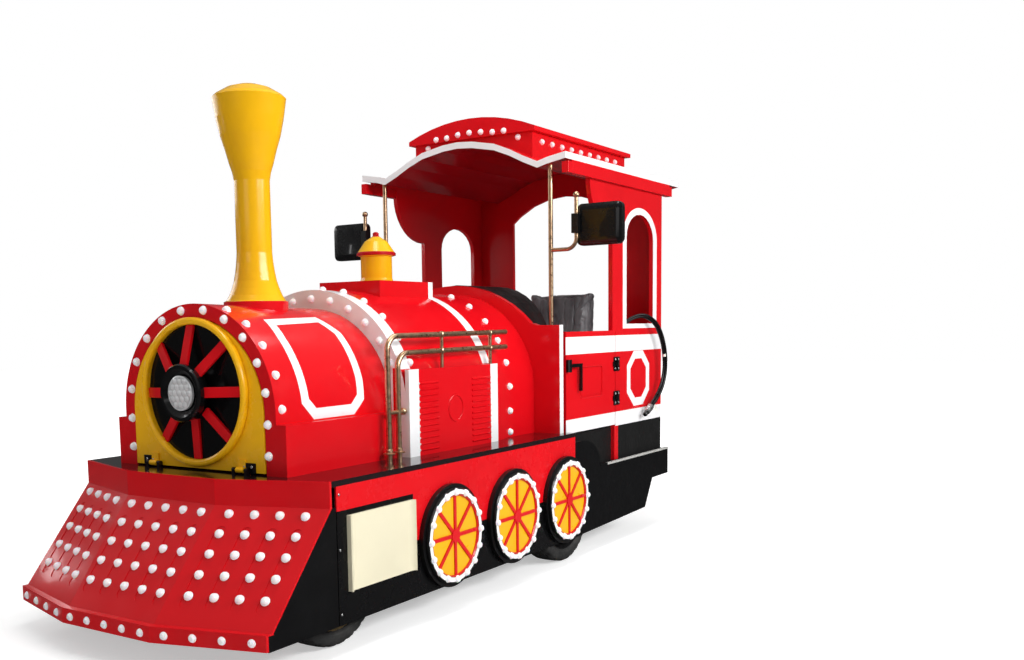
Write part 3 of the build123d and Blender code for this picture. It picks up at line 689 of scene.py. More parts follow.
# bulbs: one lamp mesh, set on points that carry their own outward direction
bulbShape = {
    "profile": [(0.0195, 0.0), (0.0195, 0.0015), (0.0175, 0.0030), (0.0172, 0.0055), (0.0160, 0.0095),
                (0.0130, 0.0135), (0.0088, 0.0163), (0.0042, 0.0178), (0.0, 0.0182)],
    "steps": 20,
}


def lampMesh(facts):
    bm = bmesh.new()
    revolve(bm, facts["profile"], Vector((0, 0, 0)), (0, 0, 1), facts["steps"])
    mesh = meshFrom(bm, "lamp_unit")
    mesh.shade_smooth()
    return mesh


lampUnit = bpy.data.objects.new("lamp_unit", lampMesh(bulbShape))


def scatterTree(unit, material):
    tree = bpy.data.node_groups.new("lamp_rows", "GeometryNodeTree")
    tree.interface.new_socket("Geometry", in_out="INPUT", socket_type="NodeSocketGeometry")
    size = tree.interface.new_socket("Lamp size", in_out="INPUT", socket_type="NodeSocketFloat")
    size.default_value = 1.0
    tree.interface.new_socket("Geometry", in_out="OUTPUT", socket_type="NodeSocketGeometry")
    new, link = tree.nodes.new, tree.links.new
    start, end = new("NodeGroupInput"), new("NodeGroupOutput")
    info, points = new("GeometryNodeObjectInfo"), new("GeometryNodeInstanceOnPoints")
    align, outward = new("FunctionNodeAlignRotationToVector"), new("GeometryNodeInputNamedAttribute")
    real, setMaterial = new("GeometryNodeRealizeInstances"), new("GeometryNodeSetMaterial")
    info.inputs["Object"].default_value = unit
    outward.data_type = "FLOAT_VECTOR"
    outward.inputs["Name"].default_value = "outward"
    align.axis = "Z"
    link(outward.outputs[0], align.inputs["Vector"])
    link(start.outputs["Geometry"], points.inputs["Points"])
    link(info.outputs["Geometry"], points.inputs["Instance"])
    link(align.outputs[0], points.inputs["Rotation"])
    link(start.outputs["Lamp size"], points.inputs["Scale"])
    link(points.outputs[0], real.inputs[0])
    link(real.outputs[0], setMaterial.inputs["Geometry"])
    setMaterial.inputs["Material"].default_value = material
    link(setMaterial.outputs[0], end.inputs[0])
    return tree, size.identifier


lampTree, lampSize = scatterTree(lampUnit, finish["bulb"])


# copies of one unit on spots that each carry an outward direction
def lampRow(name, spots, body="chassis", size=1.0, tree=None, material=None):
    group, sizeKey = tree or (lampTree, lampSize)
    mesh = bpy.data.meshes.new(name + "_points")
    mesh.from_pydata([tuple(p) for p, n in spots], [], [])
    outward = mesh.attributes.new("outward", "FLOAT_VECTOR", "POINT")
    outward.data.foreach_set("vector", [c for p, n in spots for c in Vector(n).normalized()])
    holder = bpy.data.objects.new(name + "_points", mesh)
    bpy.context.scene.collection.objects.link(holder)
    modifier = holder.modifiers.new("rows", "NODES")
    modifier.node_group = group
    modifier[sizeKey] = size
    bpy.context.view_layer.update()
    made = bpy.data.meshes.new_from_object(holder.evaluated_get(bpy.context.evaluated_depsgraph_get()))
    made.name = name
    bpy.data.objects.remove(holder)
    return addPiece(name, made, material or finish["bulb"], body, angle=60)


plowLamps = {
    "rows": (0.577, 0.5055, 0.434, 0.362, 0.290),
    "centre": (-0.216, -0.108, 0.0, 0.108, 0.216),
    "outer": (0.348, 0.456, 0.562, 0.667),
    "sink": 0.0063,
}
# the sloping panel: X of its edges in the middle and at the ends, and the Y where each edge bends back
plow = {"topX": (2.097, 1.941), "footX": (2.428, 2.290), "topBend": 0.27, "footBend": 0.262,
        "topLong": 0.48, "footLong": 0.488, "top": 0.607, "high": 0.416, "across": (0.325, 0.2828)}


def plowSpot(y, z):
    s, high = abs(y), plow["high"]
    (top, topEnd), (foot, footEnd) = plow["topX"], plow["footX"]
    share = (plow["top"] - z) / high
    across = 0
    if s >= plow["topBend"]:
        top -= (s - plow["topBend"]) * (top - topEnd) / plow["topLong"]
        foot -= (s - plow["footBend"]) * (foot - footEnd) / plow["footLong"]
        first, last = plow["across"]
        across = (first + (last - first) * share) * (1 if y > 0 else -1)
    normal = Vector((1, across, (foot - top) / high)).normalized()
    return at(top + (foot - top) * share, y, z), normal


plowColumns = list(plowLamps["centre"]) + [o * e for o in plowLamps["outer"] for _, e in sides]
lampRow("plow_lamps", [plowSpot(y, z) for z in plowLamps["rows"] for y in plowColumns])

flange = {"front": 2.4585, "z": 0.158, "straight": 0.268, "long": 0.482, "rake": 0.1405, "outer": 4}


def flangeSpots(facts):
    front = facts["front"] - plowLamps["sink"]
    spots = [(at(front, y, facts["z"]), ahead) for y in plowLamps["centre"]]
    for k in range(facts["outer"]):
        share = (k + 0.5) / facts["outer"]
        x, y = front - facts["rake"] * share, facts["straight"] + facts["long"] * share
        spots += bothSides(x, y, facts["z"], (facts["long"], facts["rake"], 0))
    return spots


lampRow("plow_foot_lamps", flangeSpots(flange))

smoke = {"front": 1.930, "rear": 1.170, "radius": 0.465, "centre": 0.965, "drop": 0.031, "flare": 0.012}
ringLamps = {"radius": 0.4205, "centre": 0.985, "pitch": 17.7, "first": 0.53, "low": (0.926, 0.796)}
skinLamps = {"x": 1.893, "sink": 0.0015, "angles": (21.2, 36.7, 52.2, 69.3, 87.0)}
middle = {"radius": 0.562, "centre": 0.940, "inset": 0.043, "facePitch": 13.2, "bandX": 1.085,
          "bandPitch": 13.6}
fire = {"x": 0.200, "radius": 0.535, "centre": 0.965, "first": 18.0, "pitch": 13.9, "low": (0.857, 0.743)}


# a spot on an arch at an angle from its top, to the left for a positive angle
def archSpot(x, radius, centre, degrees, faceNormal=None):
    u, v = sin(radians(degrees)), cos(radians(degrees))
    return at(x, radius * u, centre + radius * v), faceNormal or (0, u, v)


ringSpots = []
for k in range(5):
    for _, e in sides:
        turn = e * ringLamps["pitch"] * (k + ringLamps["first"])
        ringSpots.append(archSpot(smoke["front"], ringLamps["radius"], ringLamps["centre"], turn, ahead))
for z in ringLamps["low"]:
    ringSpots += bothSides(smoke["front"], ringLamps["radius"], z, ahead)
lampRow("front_ring_lamps", ringSpots)

skinCentre = smoke["centre"] - skinLamps["sink"]
skinSpots = [archSpot(skinLamps["x"], smoke["radius"], skinCentre, e * a)
             for a in skinLamps["angles"] for _, e in sides]
lampRow("smokebox_lamps", skinSpots)

faceRadius = middle["radius"] - middle["inset"]
collarSteps = range(-5, 6)  # eleven lamps, even about the top
faceSpots = [archSpot(boiler["faceX"], faceRadius, middle["centre"], middle["facePitch"] * k, ahead)
             for k in collarSteps]
lampRow("collar_face_lamps", faceSpots)
bandSpots = [archSpot(middle["bandX"], middle["radius"], middle["centre"], middle["bandPitch"] * k)
             for k in collarSteps]
lampRow("collar_band_lamps", bandSpots)

fireSpots = [archSpot(fire["x"], fire["radius"], fire["centre"], e * (fire["first"] + fire["pitch"] * k))
             for k in range(6) for _, e in sides]
for z in fire["low"]:
    fireSpots += bothSides(fire["x"], fire["radius"], z, aside)
lampRow("firebox_lamps", fireSpots)

gable = {
    "capX": -0.262,
    "top": 2.447,
    "cap": ((0.080, 2.443), (0.160, 2.433), (0.237, 2.432)),
    "end": (-0.290, 0.316, 2.391),
    "row": (-0.401, 0.410, 2.368),
    "pitch": 0.122,
    "count": 9,
    "lampSize": 0.9,
}
gableSpots = [(at(gable["capX"], 0, gable["top"]), ahead)]
for y, z in gable["cap"]:
    gableSpots += bothSides(gable["capX"], y, z, ahead)
gableSpots += bothSides(*gable["end"], ahead)
x, y, z = gable["row"]
for k in range(gable["count"]):
    gableSpots += bothSides(x - gable["pitch"] * k, y, z, aside)
lampRow("clerestory_lamps", gableSpots, size=gable["lampSize"])

decoSpots = []
for x in deco["x"]:
    for k in range(deco["lamps"]):
        t = 2 * pi * k / deco["lamps"]
        along, up = deco["lampR"] * sin(t), deco["lampR"] * cos(t)
        decoSpots += bothSides(x + along, deco["lampY"], deco["z"] + up, aside)
lampRow("wheel_lamps", decoSpots, size=deco["lampSize"])
print("stage: lamps")


# the cable over the window sill, two strands side by side
cableFacts = {
    "route": [(-985, 598, 716), (-985, 598, 900), (-990, 602, 1120), (-1018, 626, 1312),
              (-1125, 706, 1375), (-1225, 756, 1335), (-1325, 762, 1248), (-1392, 762, 1125),
              (-1400, 760, 985), (-1325, 752, 855), (-1203, 745, 786)],
    "strand": 0.0082,
    "steps": 12,
}


# points along the smooth curve that a route controls
def splinePoints(route):
    curve = bpy.data.curves.new("cable_line", "CURVE")
    curve.dimensions = "3D"
    curve.resolution_u = 8
    spline = curve.splines.new("NURBS")
    spline.points.add(len(route) - 1)
    for point, place in zip(spline.points, route):
        point.co = at(*(number / 1000 for number in place)).to_4d()
    spline.order_u = 3
    spline.use_endpoint_u = True
    holder = bpy.data.objects.new("cable_line", curve)
    bpy.context.scene.collection.objects.link(holder)
    line = bpy.data.meshes.new_from_object(holder)
    points = [vertex.co.copy() for vertex in line.vertices]
    bpy.data.objects.remove(holder)
    return points


# a tube along a path, set off to one side; the side vector turns as little as it can
def strand(bm, path, offset, facts):
    side = Vector(aside).cross(path[1] - path[0]).normalized()
    rings = []
    for k, point in enumerate(path):
        along = (path[min(k + 1, len(path) - 1)] - path[max(k - 1, 0)]).normalized()
        side = (side - along * side.dot(along)).normalized()
        other = along.cross(side)
        middle = point + side * offset
        turns = [2 * pi * m / facts["steps"] for m in range(facts["steps"])]
        radius = facts["strand"]
        rings.append([bm.verts.new(middle + (side * cos(t) + other * sin(t)) * radius) for t in turns])
    bridge(bm, rings)
    bm.faces.new(rings[0])
    bm.faces.new(rings[-1])


cablePath = splinePoints(cableFacts["route"])


def makeCable(facts):
    bm = bmesh.new()
    for offset in (-facts["strand"], facts["strand"]):
        strand(bm, cablePath, offset, facts)
    cable = addPiece("side_cable_strands", bm, finish["cable"])
    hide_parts("side_cable")
    return cable


cable = makeCable(cableFacts)


# point and direction at a share of the cable's length
def alongCable(share):
    k = max(1, min(len(cablePath) - 2, round(share * (len(cablePath) - 1))))
    return cablePath[k], (cablePath[k + 1] - cablePath[k - 1]).normalized()


plugFacts = {
    "profile": [(0, -0.004), (0.0195, -0.004), (0.0215, 0), (0.0215, 0.020), (0.0185, 0.024),
                (0.0185, 0.033), (0.0208, 0.036), (0.0208, 0.040), (0.0196, 0.0415), (0.0208, 0.043),
                (0.0208, 0.048), (0.0196, 0.0495), (0.0208, 0.051), (0.0208, 0.057), (0.0150, 0.063),
                (0.0150, 0.091), (0.0125, 0.0955), (0.0105, 0.0955), (0.0100, 0.080), (0, 0.080)],
    "tip": 0.0632,
}
tieFacts = {"grow": 0.0011, "long": 0.0164, "flat": 0.0082, "steps": 24}
tagFacts = {"place": (-0.030, 0.022, -0.010), "wide": 0.022, "high": 0.016, "twist": 0.004, "lean": 0.010,
            "thick": 0.0006}


def makePlug(facts):
    end = cablePath[-1]
    along = (cablePath[-1] - cablePath[-2]).normalized()
    bm = bmesh.new()
    revolve(bm, facts["profile"], end, along, 40)
    mesh = meshFrom(bm, "side_cable_connector")
    mesh.materials.append(finish["steel"])
    mesh.materials.append(finish["lamp_black"])
    for face in mesh.polygons:
        face.material_index = int((face.center - end).dot(along) > facts["tip"])
    plug = addPiece("side_cable_connector", mesh, None)
    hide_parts("cable_plug")
    return plug


# a band round both strands, standing a millimetre off them
def makeTie(name, share, width, material):
    middle, along = alongCable(share)
    side = Vector(aside).cross(along).normalized()
    other = along.cross(side)
    grow, flat, steps = (tieFacts[key] for key in ("grow", "flat", "steps"))
    bm = bmesh.new()
    loops = []
    for step, lift in ((-width, 0), (-width, grow), (width, grow), (width, 0)):
        loop = []
        for k in range(steps):
            t = 2 * pi * k / steps
            centre = (tieFacts["long"] - flat) * (1 if cos(t) > 0 else -1)
            across, up = centre + (flat + lift) * cos(t), (flat + lift) * sin(t)
            loop.append(bm.verts.new(middle + along * step + side * across + other * up))
        loops.append(loop)
    bridge(bm, loops + loops[:1])
    return addPiece(name, bm, material)


# the blank paper tag that hangs behind the connector
def makeTag(name, facts):
    middle = cablePath[-1] + Vector(facts["place"])
    bm = bmesh.new()
    bmesh.ops.create_grid(bm, x_segments=6, y_segments=4, size=1)
    for v in bm.verts:
        u, w = v.co.x, v.co.y
        up = facts["high"] * w + facts["lean"] * u
        v.co = middle + Vector((facts["wide"] * u, facts["twist"] * u * w, up))
    bmesh.ops.solidify(bm, geom=bm.faces[:], thickness=facts["thick"])
    return addPiece(name, bm, finish["paper"])


plug = makePlug(plugFacts)
ties = [makeTie("cable_tie_upper", 0.735, 0.009, finish["paper"]),
        makeTie("cable_tie_lower", 0.955, 0.004, finish["lamp_black"])]
tag = makeTag("cable_tag", tagFacts)


# tyres with a moulded tread
tyreFacts = {
    "steps": 120,
    "half": [(0.0, 0.278), (0.0060, 0.278), (0.0075, 0.2715), (0.0115, 0.2715), (0.0130, 0.2778),
             (0.0340, 0.2774), (0.0355, 0.2710), (0.0395, 0.2710), (0.0410, 0.2768), (0.0560, 0.2755),
             (0.0660, 0.2715), (0.0700, 0.2675), (0.0735, 0.2600), (0.0765, 0.2480), (0.0775, 0.2370),
             (0.0768, 0.2300), (0.0772, 0.2270), (0.0745, 0.2210), (0.0690, 0.2120), (0.0640, 0.2080)],
    "shoulder": (0.0410, 0.0735),
    "centre": (0.013, 0.0335),
    "pitch": 4,
    "cut": 0.0055,
    "skew": 14,
}


def makeTyre(name, facts):
    low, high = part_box(name)
    middle = (Vector(low) + Vector(high)) / 2
    outline = [(-y, r) for y, r in reversed(facts["half"][1:])] + facts["half"]
    (first, last), (start, end), pitch = facts["shoulder"], facts["centre"], facts["pitch"]
    bm = bmesh.new()
    rings = []
    for k in range(facts["steps"]):
        ring = []
        for y, r in outline:
            outer = first <= abs(y) <= last and (k + (y > 0)) % pitch == 0
            inner = start < abs(y) < end and (k + 2 * (y > 0)) % pitch == 0
            reach = r - facts["cut"] if outer or inner else r
            turn = 2 * pi * (k + y * facts["skew"]) / facts["steps"]
            ring.append(bm.verts.new(middle + Vector((sin(turn) * reach, y, cos(turn) * reach))))
        rings.append(ring)
    for a, b in zip(rings, rings[1:] + rings[:1]):
        for m in range(len(outline) - 1):
            bm.faces.new((a[m], a[m + 1], b[m + 1], b[m]))
    body = name.replace("tyre", "wheel")
    piece = addPiece(name + "_tread", bm, finish["rubber"], body, angle=28)
    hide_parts(name)
    return piece


for end in ("front", "rear"):
    for side, e in sides:
        makeTyre(f"tyre_{end}_{side}", tyreFacts)

trimFacts = {
    "lip": [(0.2005, 0.060), (0.2025, 0.067), (0.2075, 0.068), (0.2090, 0.063)],
    "nut": [(0.0115, 0.028), (0.0115, 0.042), (0.008625, 0.046), (0.005, 0.046), (0.005, 0.052),
            (0, 0.052)],
    "cap": [(0.044, 0.040), (0.044, 0.056), (0.040, 0.061), (0.020, 0.065), (0, 0.066)],
    "nuts": 6,
    "nutCircle": 0.088,
}


# gold lip, wheel nuts and a hub cap on the outer face
def makeRimTrim(end, side, e, facts):
    low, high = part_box(f"rim_{end}_{side}")
    middle = (Vector(low) + Vector(high)) / 2
    out = Vector((0, e, 0))
    bm = bmesh.new()
    revolve(bm, facts["lip"], middle, out, 64)
    for k in range(facts["nuts"]):
        t = 2 * pi * k / facts["nuts"]
        revolve(bm, facts["nut"], middle + Vector((sin(t), 0, cos(t))) * facts["nutCircle"], out, 6)
    revolve(bm, facts["cap"], middle, out, 40)
    tone = finish["rim_gold"] if end == "front" else finish["rim_dark"]
    return addPiece(f"rim_trim_{end}_{side}", bm, tone, f"wheel_{end}_{side}")


for end in ("front", "rear"):
    for side, e in sides:
        makeRimTrim(end, side, e, trimFacts)
print("stage: wheels")


# headlight lens: a shallow dish of moulded clusters behind clear plastic
lensFacts = {
    "x": 1.930,
    "z": 1.052,
    "radius": 0.0705,
    "rim": [(0.0745, 0.076), (0.0745, 0.088), (0.0705, 0.0905), (0.0675, 0.0905), (0.0655, 0.086)],
    "dish": [(0.0685, 0.085), (0.0423, 0.0915), (0.02115, 0.0935), (0, 0.094)],
    "cluster": [(0.0132, -0.001), (0.01188, 0.0022), (0.00726, 0.0042), (0, 0.005)],
    "pitch": (0.02838, 0.866),
    "rows": 4,
    "border": 0.013,
    "crown": (0.0932, 0.006),
}


def makeLens(facts):
    centre = at(facts["x"], 0, facts["z"])
    bm = bmesh.new()
    revolve(bm, facts["rim"], centre, ahead, 64)
    revolve(bm, facts["dish"], centre, ahead, 48)
    pitch, rowShare = facts["pitch"]
    top, fall = facts["crown"]
    span = range(-facts["rows"], facts["rows"] + 1)
    for i in span:
        for j in span:
            y, z = pitch * (i + 0.5 * (j % 2)), pitch * rowShare * j
            d = sqrt(y * y + z * z)
            if d > facts["radius"] - facts["border"]:
                continue
            base = top - fall * (d / facts["radius"]) ** 2
            revolve(bm, facts["cluster"], centre + Vector((base, y, z)), ahead, 18)
    return addPiece("headlight_lens", bm, finish["lens"], "front_door", angle=50)


makeLens(lensFacts)


# painted outline on the smokebox, a thin strip that follows the skin
panelFacts = {
    "outline": [(1.754, 31.5), (1.385, 26.5), (1.334, 41.9), (1.345, 59.8), (1.351, 72.2), (1.367, 83.6),
                (1.440, 91.4), (1.703, 92.9), (1.772, 84.6), (1.774, 72.6), (1.776, 59.8), (1.773, 46.5)],
    "band": 0.046,
    "lift": 0.0006,
    "across": 5,
    "step": 0.018,
}


def onSmokebox(x, degrees, lift):
    share = (smoke["front"] - x) / (smoke["front"] - smoke["rear"])
    radius = smoke["radius"] + smoke["flare"] * share + lift
    centre = smoke["centre"] - smoke["drop"] * share
    if abs(degrees) > 90:
        low = radians(abs(degrees) - 90) * radius
        return at(x, radius * (1 if degrees > 0 else -1), centre - low)
    return at(x, radius * sin(radians(degrees)), centre + radius * cos(radians(degrees)))


# the same closed outline drawn inwards by an inset
def insetLoop(points, inset):
    moved = []
    count = len(points)
    for k, p in enumerate(points):
        a, b = (p - points[k - 1]).normalized(), (points[(k + 1) % count] - p).normalized()
        na, nb = Vector((-a.y, a.x)), Vector((-b.y, b.x))
        middle = (na + nb).normalized()
        moved.append(p + middle * inset / max(0.5, middle.dot(na)))
    return moved


def makePanelLine(side, e, facts):
    scale = smoke["radius"] * pi / 180
    outer = [Vector((x, a * scale)) for x, a in reversed(facts["outline"])]
    inner = insetLoop(outer, facts["band"])
    outerEdges, innerEdges = (zip(line, line[1:] + line[:1]) for line in (outer, inner))
    pairs = []
    for (a, b), (c, d) in zip(outerEdges, innerEdges):
        steps = max(1, int((b - a).length / facts["step"]))
        pairs += [(a.lerp(b, k / steps), c.lerp(d, k / steps)) for k in range(steps)]
    bm = bmesh.new()
    loops = []
    for m in range(facts["across"] + 1):
        line = [p.lerp(q, m / facts["across"]) for p, q in pairs]
        loops.append([bm.verts.new(onSmokebox(w.x, e * w.y / scale, facts["lift"])) for w in line])
    bridge(bm, loops)
    return addPiece(f"smokebox_line_{side}", bm, finish["line_white"])


for side, e in sides:
    makePanelLine(side, e, panelFacts)
print("stage: smokebox")


# outlines and plates
# outline of a rounded rectangle about its centre
def roundedRect(wide, high, corner, steps=5):
    points = []
    for u, v, start in ((1, 1, 0), (-1, 1, 90), (-1, -1, 180), (1, -1, 270)):
        for k in range(steps + 1):
            a = radians(start + 90 * k / steps)
            x, y = u * (wide / 2 - corner), v * (high / 2 - corner)
            points.append((x + corner * cos(a), y + corner * sin(a)))
    return points


# a closed skin over a stack of loops with a flat face at each end
def skinLoops(bm, loops):
    rings = [[bm.verts.new(p) for p in loop] for loop in loops]
    bridge(bm, rings)
    bm.faces.new(rings[0])
    bm.faces.new(rings[-1])


# a rounded slab: each layer is a height along the normal and an inset of the outline
def shaped(bm, centre, normal, wide, high, corner, layers):
    u, v, n = basis(normal)
    loops = []
    for height, inset in layers:
        outline = roundedRect(wide - 2 * inset, high - 2 * inset, max(0.001, corner - inset))
        loops.append([centre + n * height + u * a + v * b for a, b in outline])
    skinLoops(bm, loops)


def plate(bm, centre, normal, wide, high, corner, thick):
    shaped(bm, centre, normal, wide, high, corner, [(0, 0), (thick - 0.0008, 0), (thick, 0.0008)])


# a round bead along a closed flat path
def bead(bm, path, normal, radius, steps=8):
    n = Vector(normal).normalized()
    count = len(path)
    rings = []
    for k, p in enumerate(path):
        along = (path[(k + 1) % count] - path[k - 1]).normalized()
        across = along.cross(n)
        turns = [2 * pi * m / steps for m in range(steps)]
        rings.append([bm.verts.new(p + (across * cos(t) + n * sin(t)) * radius) for t in turns])
    bridge(bm, rings + rings[:1])


# where a ray from a spot meets a CAD node
def surfaceOf(name, spot, direction):
    hit, place, normal, _ = nodes[name].ray_cast(spot, Vector(direction))
    if not hit:
        raise RuntimeError("nothing under a fitting on " + name)
    return place


# closing disc and spokes of the smokebox door
grille = {
    "disc": (1.926, 1.9325),
    "radius": 0.2896,
    "spoke": 0.044,
    "hub": 0.115,
    "gap": 0.0004,
    "slope": (0.30, 0.12, 0.03),
    "lower": {5: 1, 6: 2, 7: 1},  # these spokes lie flatter, clear of the plow when the door is open
    "layers": ((-0.004, 0), (0.008, 0), (0.0095, 0.0015)),
    "z": 1.052,
    "turn": 1.5,
}


def makeGrille(facts):
    bm = bmesh.new()
    low, high = facts["disc"]
    centre = at(low, 0, facts["z"])
    r, half, inner = facts["radius"], facts["spoke"] / 2, facts["hub"]
    outer = sqrt(r * r - half * half) - facts["gap"]
    revolve(bm, [(0, 0), (r, 0), (r, high - low), (0, high - low)], centre, ahead, 72)
    for k in range(8):
        a = radians(45 * k + facts["turn"])
        along, across = Vector((0, cos(a), sin(a))), Vector((0, -sin(a), cos(a)))
        slope = facts["slope"][facts["lower"].get(k, 0)]
        loops = []
        for depth, inset in facts["layers"]:
            loop = []
            for reach, turn in ((inner, -1), (outer - inset, -1), (outer - inset, 1), (inner, 1)):
                lift = Vector((high - low + (r - reach) * slope + depth, 0, 0))
                loop.append(centre + lift + along * reach + across * turn * (half - inset))
            loops.append(loop)
        skinLoops(bm, loops)
    piece = addPiece("door_grille", bm, finish["spoke_red"], "front_door")
    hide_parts("door_spokes")


makeGrille(grille)

# mirrors: a rounded shell over each head, and its glass
mirrorFacts = {
    "place": (-0.235, 0.8725, 1.8585),
    "size": (0.275, 0.227, 0.036),
    "layers": [(-0.0022, 0.006), (-0.0008, 0.0015), (0.002, 0.0004), (0.027, 0.0004), (0.033, 0.0025),
               (0.0375, 0.010), (0.0405, 0.022), (0.042, 0.040)],
    "glassX": -0.2371,
    "glass": (0.253, 0.205, 0.028, 0.001),
}


def makeMirror(side, e, facts):
    x, y, z = facts["place"]
    bm = bmesh.new()
    shaped(bm, at(x, e * y, z), ahead, *facts["size"], facts["layers"])
    addPiece(f"mirror_shell_{side}", bm, finish["lamp_black"])
    bm = bmesh.new()
    plate(bm, at(facts["glassX"], e * y, z), (-1, 0, 0), *facts["glass"])
    addPiece(f"mirror_glass_{side}", bm, finish["mirror"])


for side, e in sides:
    makeMirror(side, e, mirrorFacts)

# hinge plates, the bead on each cab door, and the screws that hold them
fittings = {
    "bonnetHinge": {"from": 2.2, "y": 0.305, "z": 0.741, "plate": (0.084, 0.044, 0.004, 0.005),
                    "screw": (0.005, 0.020, 0.004)},
    "doorHinge": {"x": -0.784, "y": 0.700, "z": (0.867, 1.073), "half": 0.021,
                  "plate": (0.034, 0.086, 0.004, 0.0068), "screw": (0.0068, 0.028)},
    "bead": {"x": -0.450, "y": 0.7005, "z": 0.983, "outline": (0.287, 0.180, 0.022), "radius": 0.0035},
    "skirtScrews": {"x": 1.885, "from": 2, "z": (0.655, 0.430, 0.165)},
}
screwSpots = {"chassis": [], "front_door": [], "door_left": [], "door_right": []}


def makeBonnetHinges(facts):
    bm = bmesh.new()
    out, across, up = facts["screw"]
    for _, e in sides:
        spot = surfaceOf("smokebox_door", at(facts["from"], e * facts["y"], facts["z"]), (-1, 0, 0))
        plate(bm, spot, ahead, *facts["plate"])
        for s in (-1, 1):
            screwSpots["front_door"].append((spot + Vector((out, s * across, up)), ahead))
    addPiece("bonnet_hinge_plates", bm, finish["lamp_black"], "front_door")


def makeDoorHinges(side, e, facts):
    out, up = facts["screw"]
    for part, body, turn in (("door", f"door_{side}", 1), ("post", "chassis", -1)):
        bm = bmesh.new()
        for z in facts["z"]:
            spot = at(facts["x"] + turn * facts["half"], e * facts["y"], z)
            plate(bm, spot, (0, e, 0), *facts["plate"])
            for s in (-1, 1):
                screwSpots[body].append((spot + Vector((0, e * out, s * up)), (0, e, 0)))
        addPiece(f"{part}_hinge_leaves_{side}", bm, finish["lamp_black"], body)


def makeDoorBead(side, e, facts):
    bm = bmesh.new()
    path = [at(facts["x"] + u, e * facts["y"], facts["z"] + v) for u, v in roundedRect(*facts["outline"])]
    bead(bm, path, aside, facts["radius"])
    addPiece(f"door_bead_{side}", bm, finish["red_gloss"], f"door_{side}")


makeBonnetHinges(fittings["bonnetHinge"])
for side, e in sides:
    makeDoorHinges(side, e, fittings["doorHinge"])
    makeDoorBead(side, e, fittings["bead"])
    for z in fittings["skirtScrews"]["z"]:
        probe = at(fittings["skirtScrews"]["x"], e * fittings["skirtScrews"]["from"], z)
        screwSpots["chassis"].append((surfaceOf("side_skirts", probe, (0, -e, 0)), (0, e, 0)))

screwShape = {
    "profile": [(0.0062, 0.0), (0.0062, 0.0012), (0.0050, 0.0026), (0.0030, 0.0032), (0.0026, 0.0022),
                (0.0, 0.0022)],
    "steps": 12,
}
screwUnit = bpy.data.objects.new("screw_unit", lampMesh(screwShape))
screwTree, screwSize = scatterTree(screwUnit, finish["steel"])
for body, spots in screwSpots.items():
    lampRow("screws_" + body, spots, body, tree=(screwTree, screwSize), material=finish["steel"])

# front ends of the cornice
corniceFacts = {"x": (-0.213, -0.136), "y": (0.680, 0.7215), "z": (2.1405, 2.2005)}


def makeCorniceEnds(facts):
    bm = bmesh.new()
    (x0, x1), (y0, y1), (z0, z1) = facts["x"], facts["y"], facts["z"]
    for _, e in sides:
        middle = at((x0 + x1) / 2, e * (y0 + y1) / 2, z0)
        shaped(bm, middle, (0, 0, 1), y1 - y0, x1 - x0, 0.0015, [(0, 0.001), (0.001, 0), (z1 - z0, 0)])
    addPiece("cornice_ends", bm, finish["red_gloss"])


makeCorniceEnds(corniceFacts)

# brass collars where the rails meet the deck and each other
collarFacts = {
    "y": 0.558,
    "feet": (1.301, 1.226),
    "deck": 0.743,
    "posts": (0.870, 0.430),
    "rails": (1.1995, 1.2775),
    "foot": [(0.028, 0), (0.028, 0.004), (0.017, 0.008), (0.016, 0.020), (0.0132, 0.023)],
    "ball": [(0, -0.017), (0.010, -0.0145), (0.0155, -0.006), (0.0155, 0.006), (0.010, 0.0145), (0, 0.017)],
}


def makeCollars(facts):
    bm = bmesh.new()
    up = Vector((0, 0, 1))
    for _, e in sides:
        for x in facts["feet"]:
            revolve(bm, facts["foot"], at(x, e * facts["y"], facts["deck"]), up, 24)
        for x in facts["posts"]:
            for z in facts["rails"]:
                revolve(bm, facts["ball"], at(x, e * facts["y"], z), up, 20)
    addPiece("rail_collars", bm, finish["brass_tube"])


makeCollars(collarFacts)
print("stage: fittings")


# seat: two filled leather pads on a plain pedestal
seatFacts = {
    "seat_cushion": {"size": (0.450, 0.490, 0.086), "centre": (-1.110, 0, 1.128), "tilt": 0, "face": 2},
    "seat_back": {"size": (0.080, 0.490, 0.388), "centre": (-1.387, 0, 1.340), "tilt": -8, "face": 0},
}
padFacts = {
    "corner": 0.026,
    "voxel": 0.008,
    "pressure": 4.0,
    "frames": 20,
    "cap": 0.022,
    "held": 0.003,
    "seam": 0.130,
    "seamDepth": 0.006,
    "seamWidth": 0.007,
    "crease": 0.006,
    "creaseScale": (15.0, 34.0),
    "creaseLong": 0.35,
    "creaseWidth": 0.24,
}


# the object's evaluated mesh becomes its mesh
def bakeModifier(piece):
    bpy.context.view_layer.update()
    made = bpy.data.meshes.new_from_object(piece.evaluated_get(bpy.context.evaluated_depsgraph_get()))
    piece.modifiers.clear()
    piece.data = made


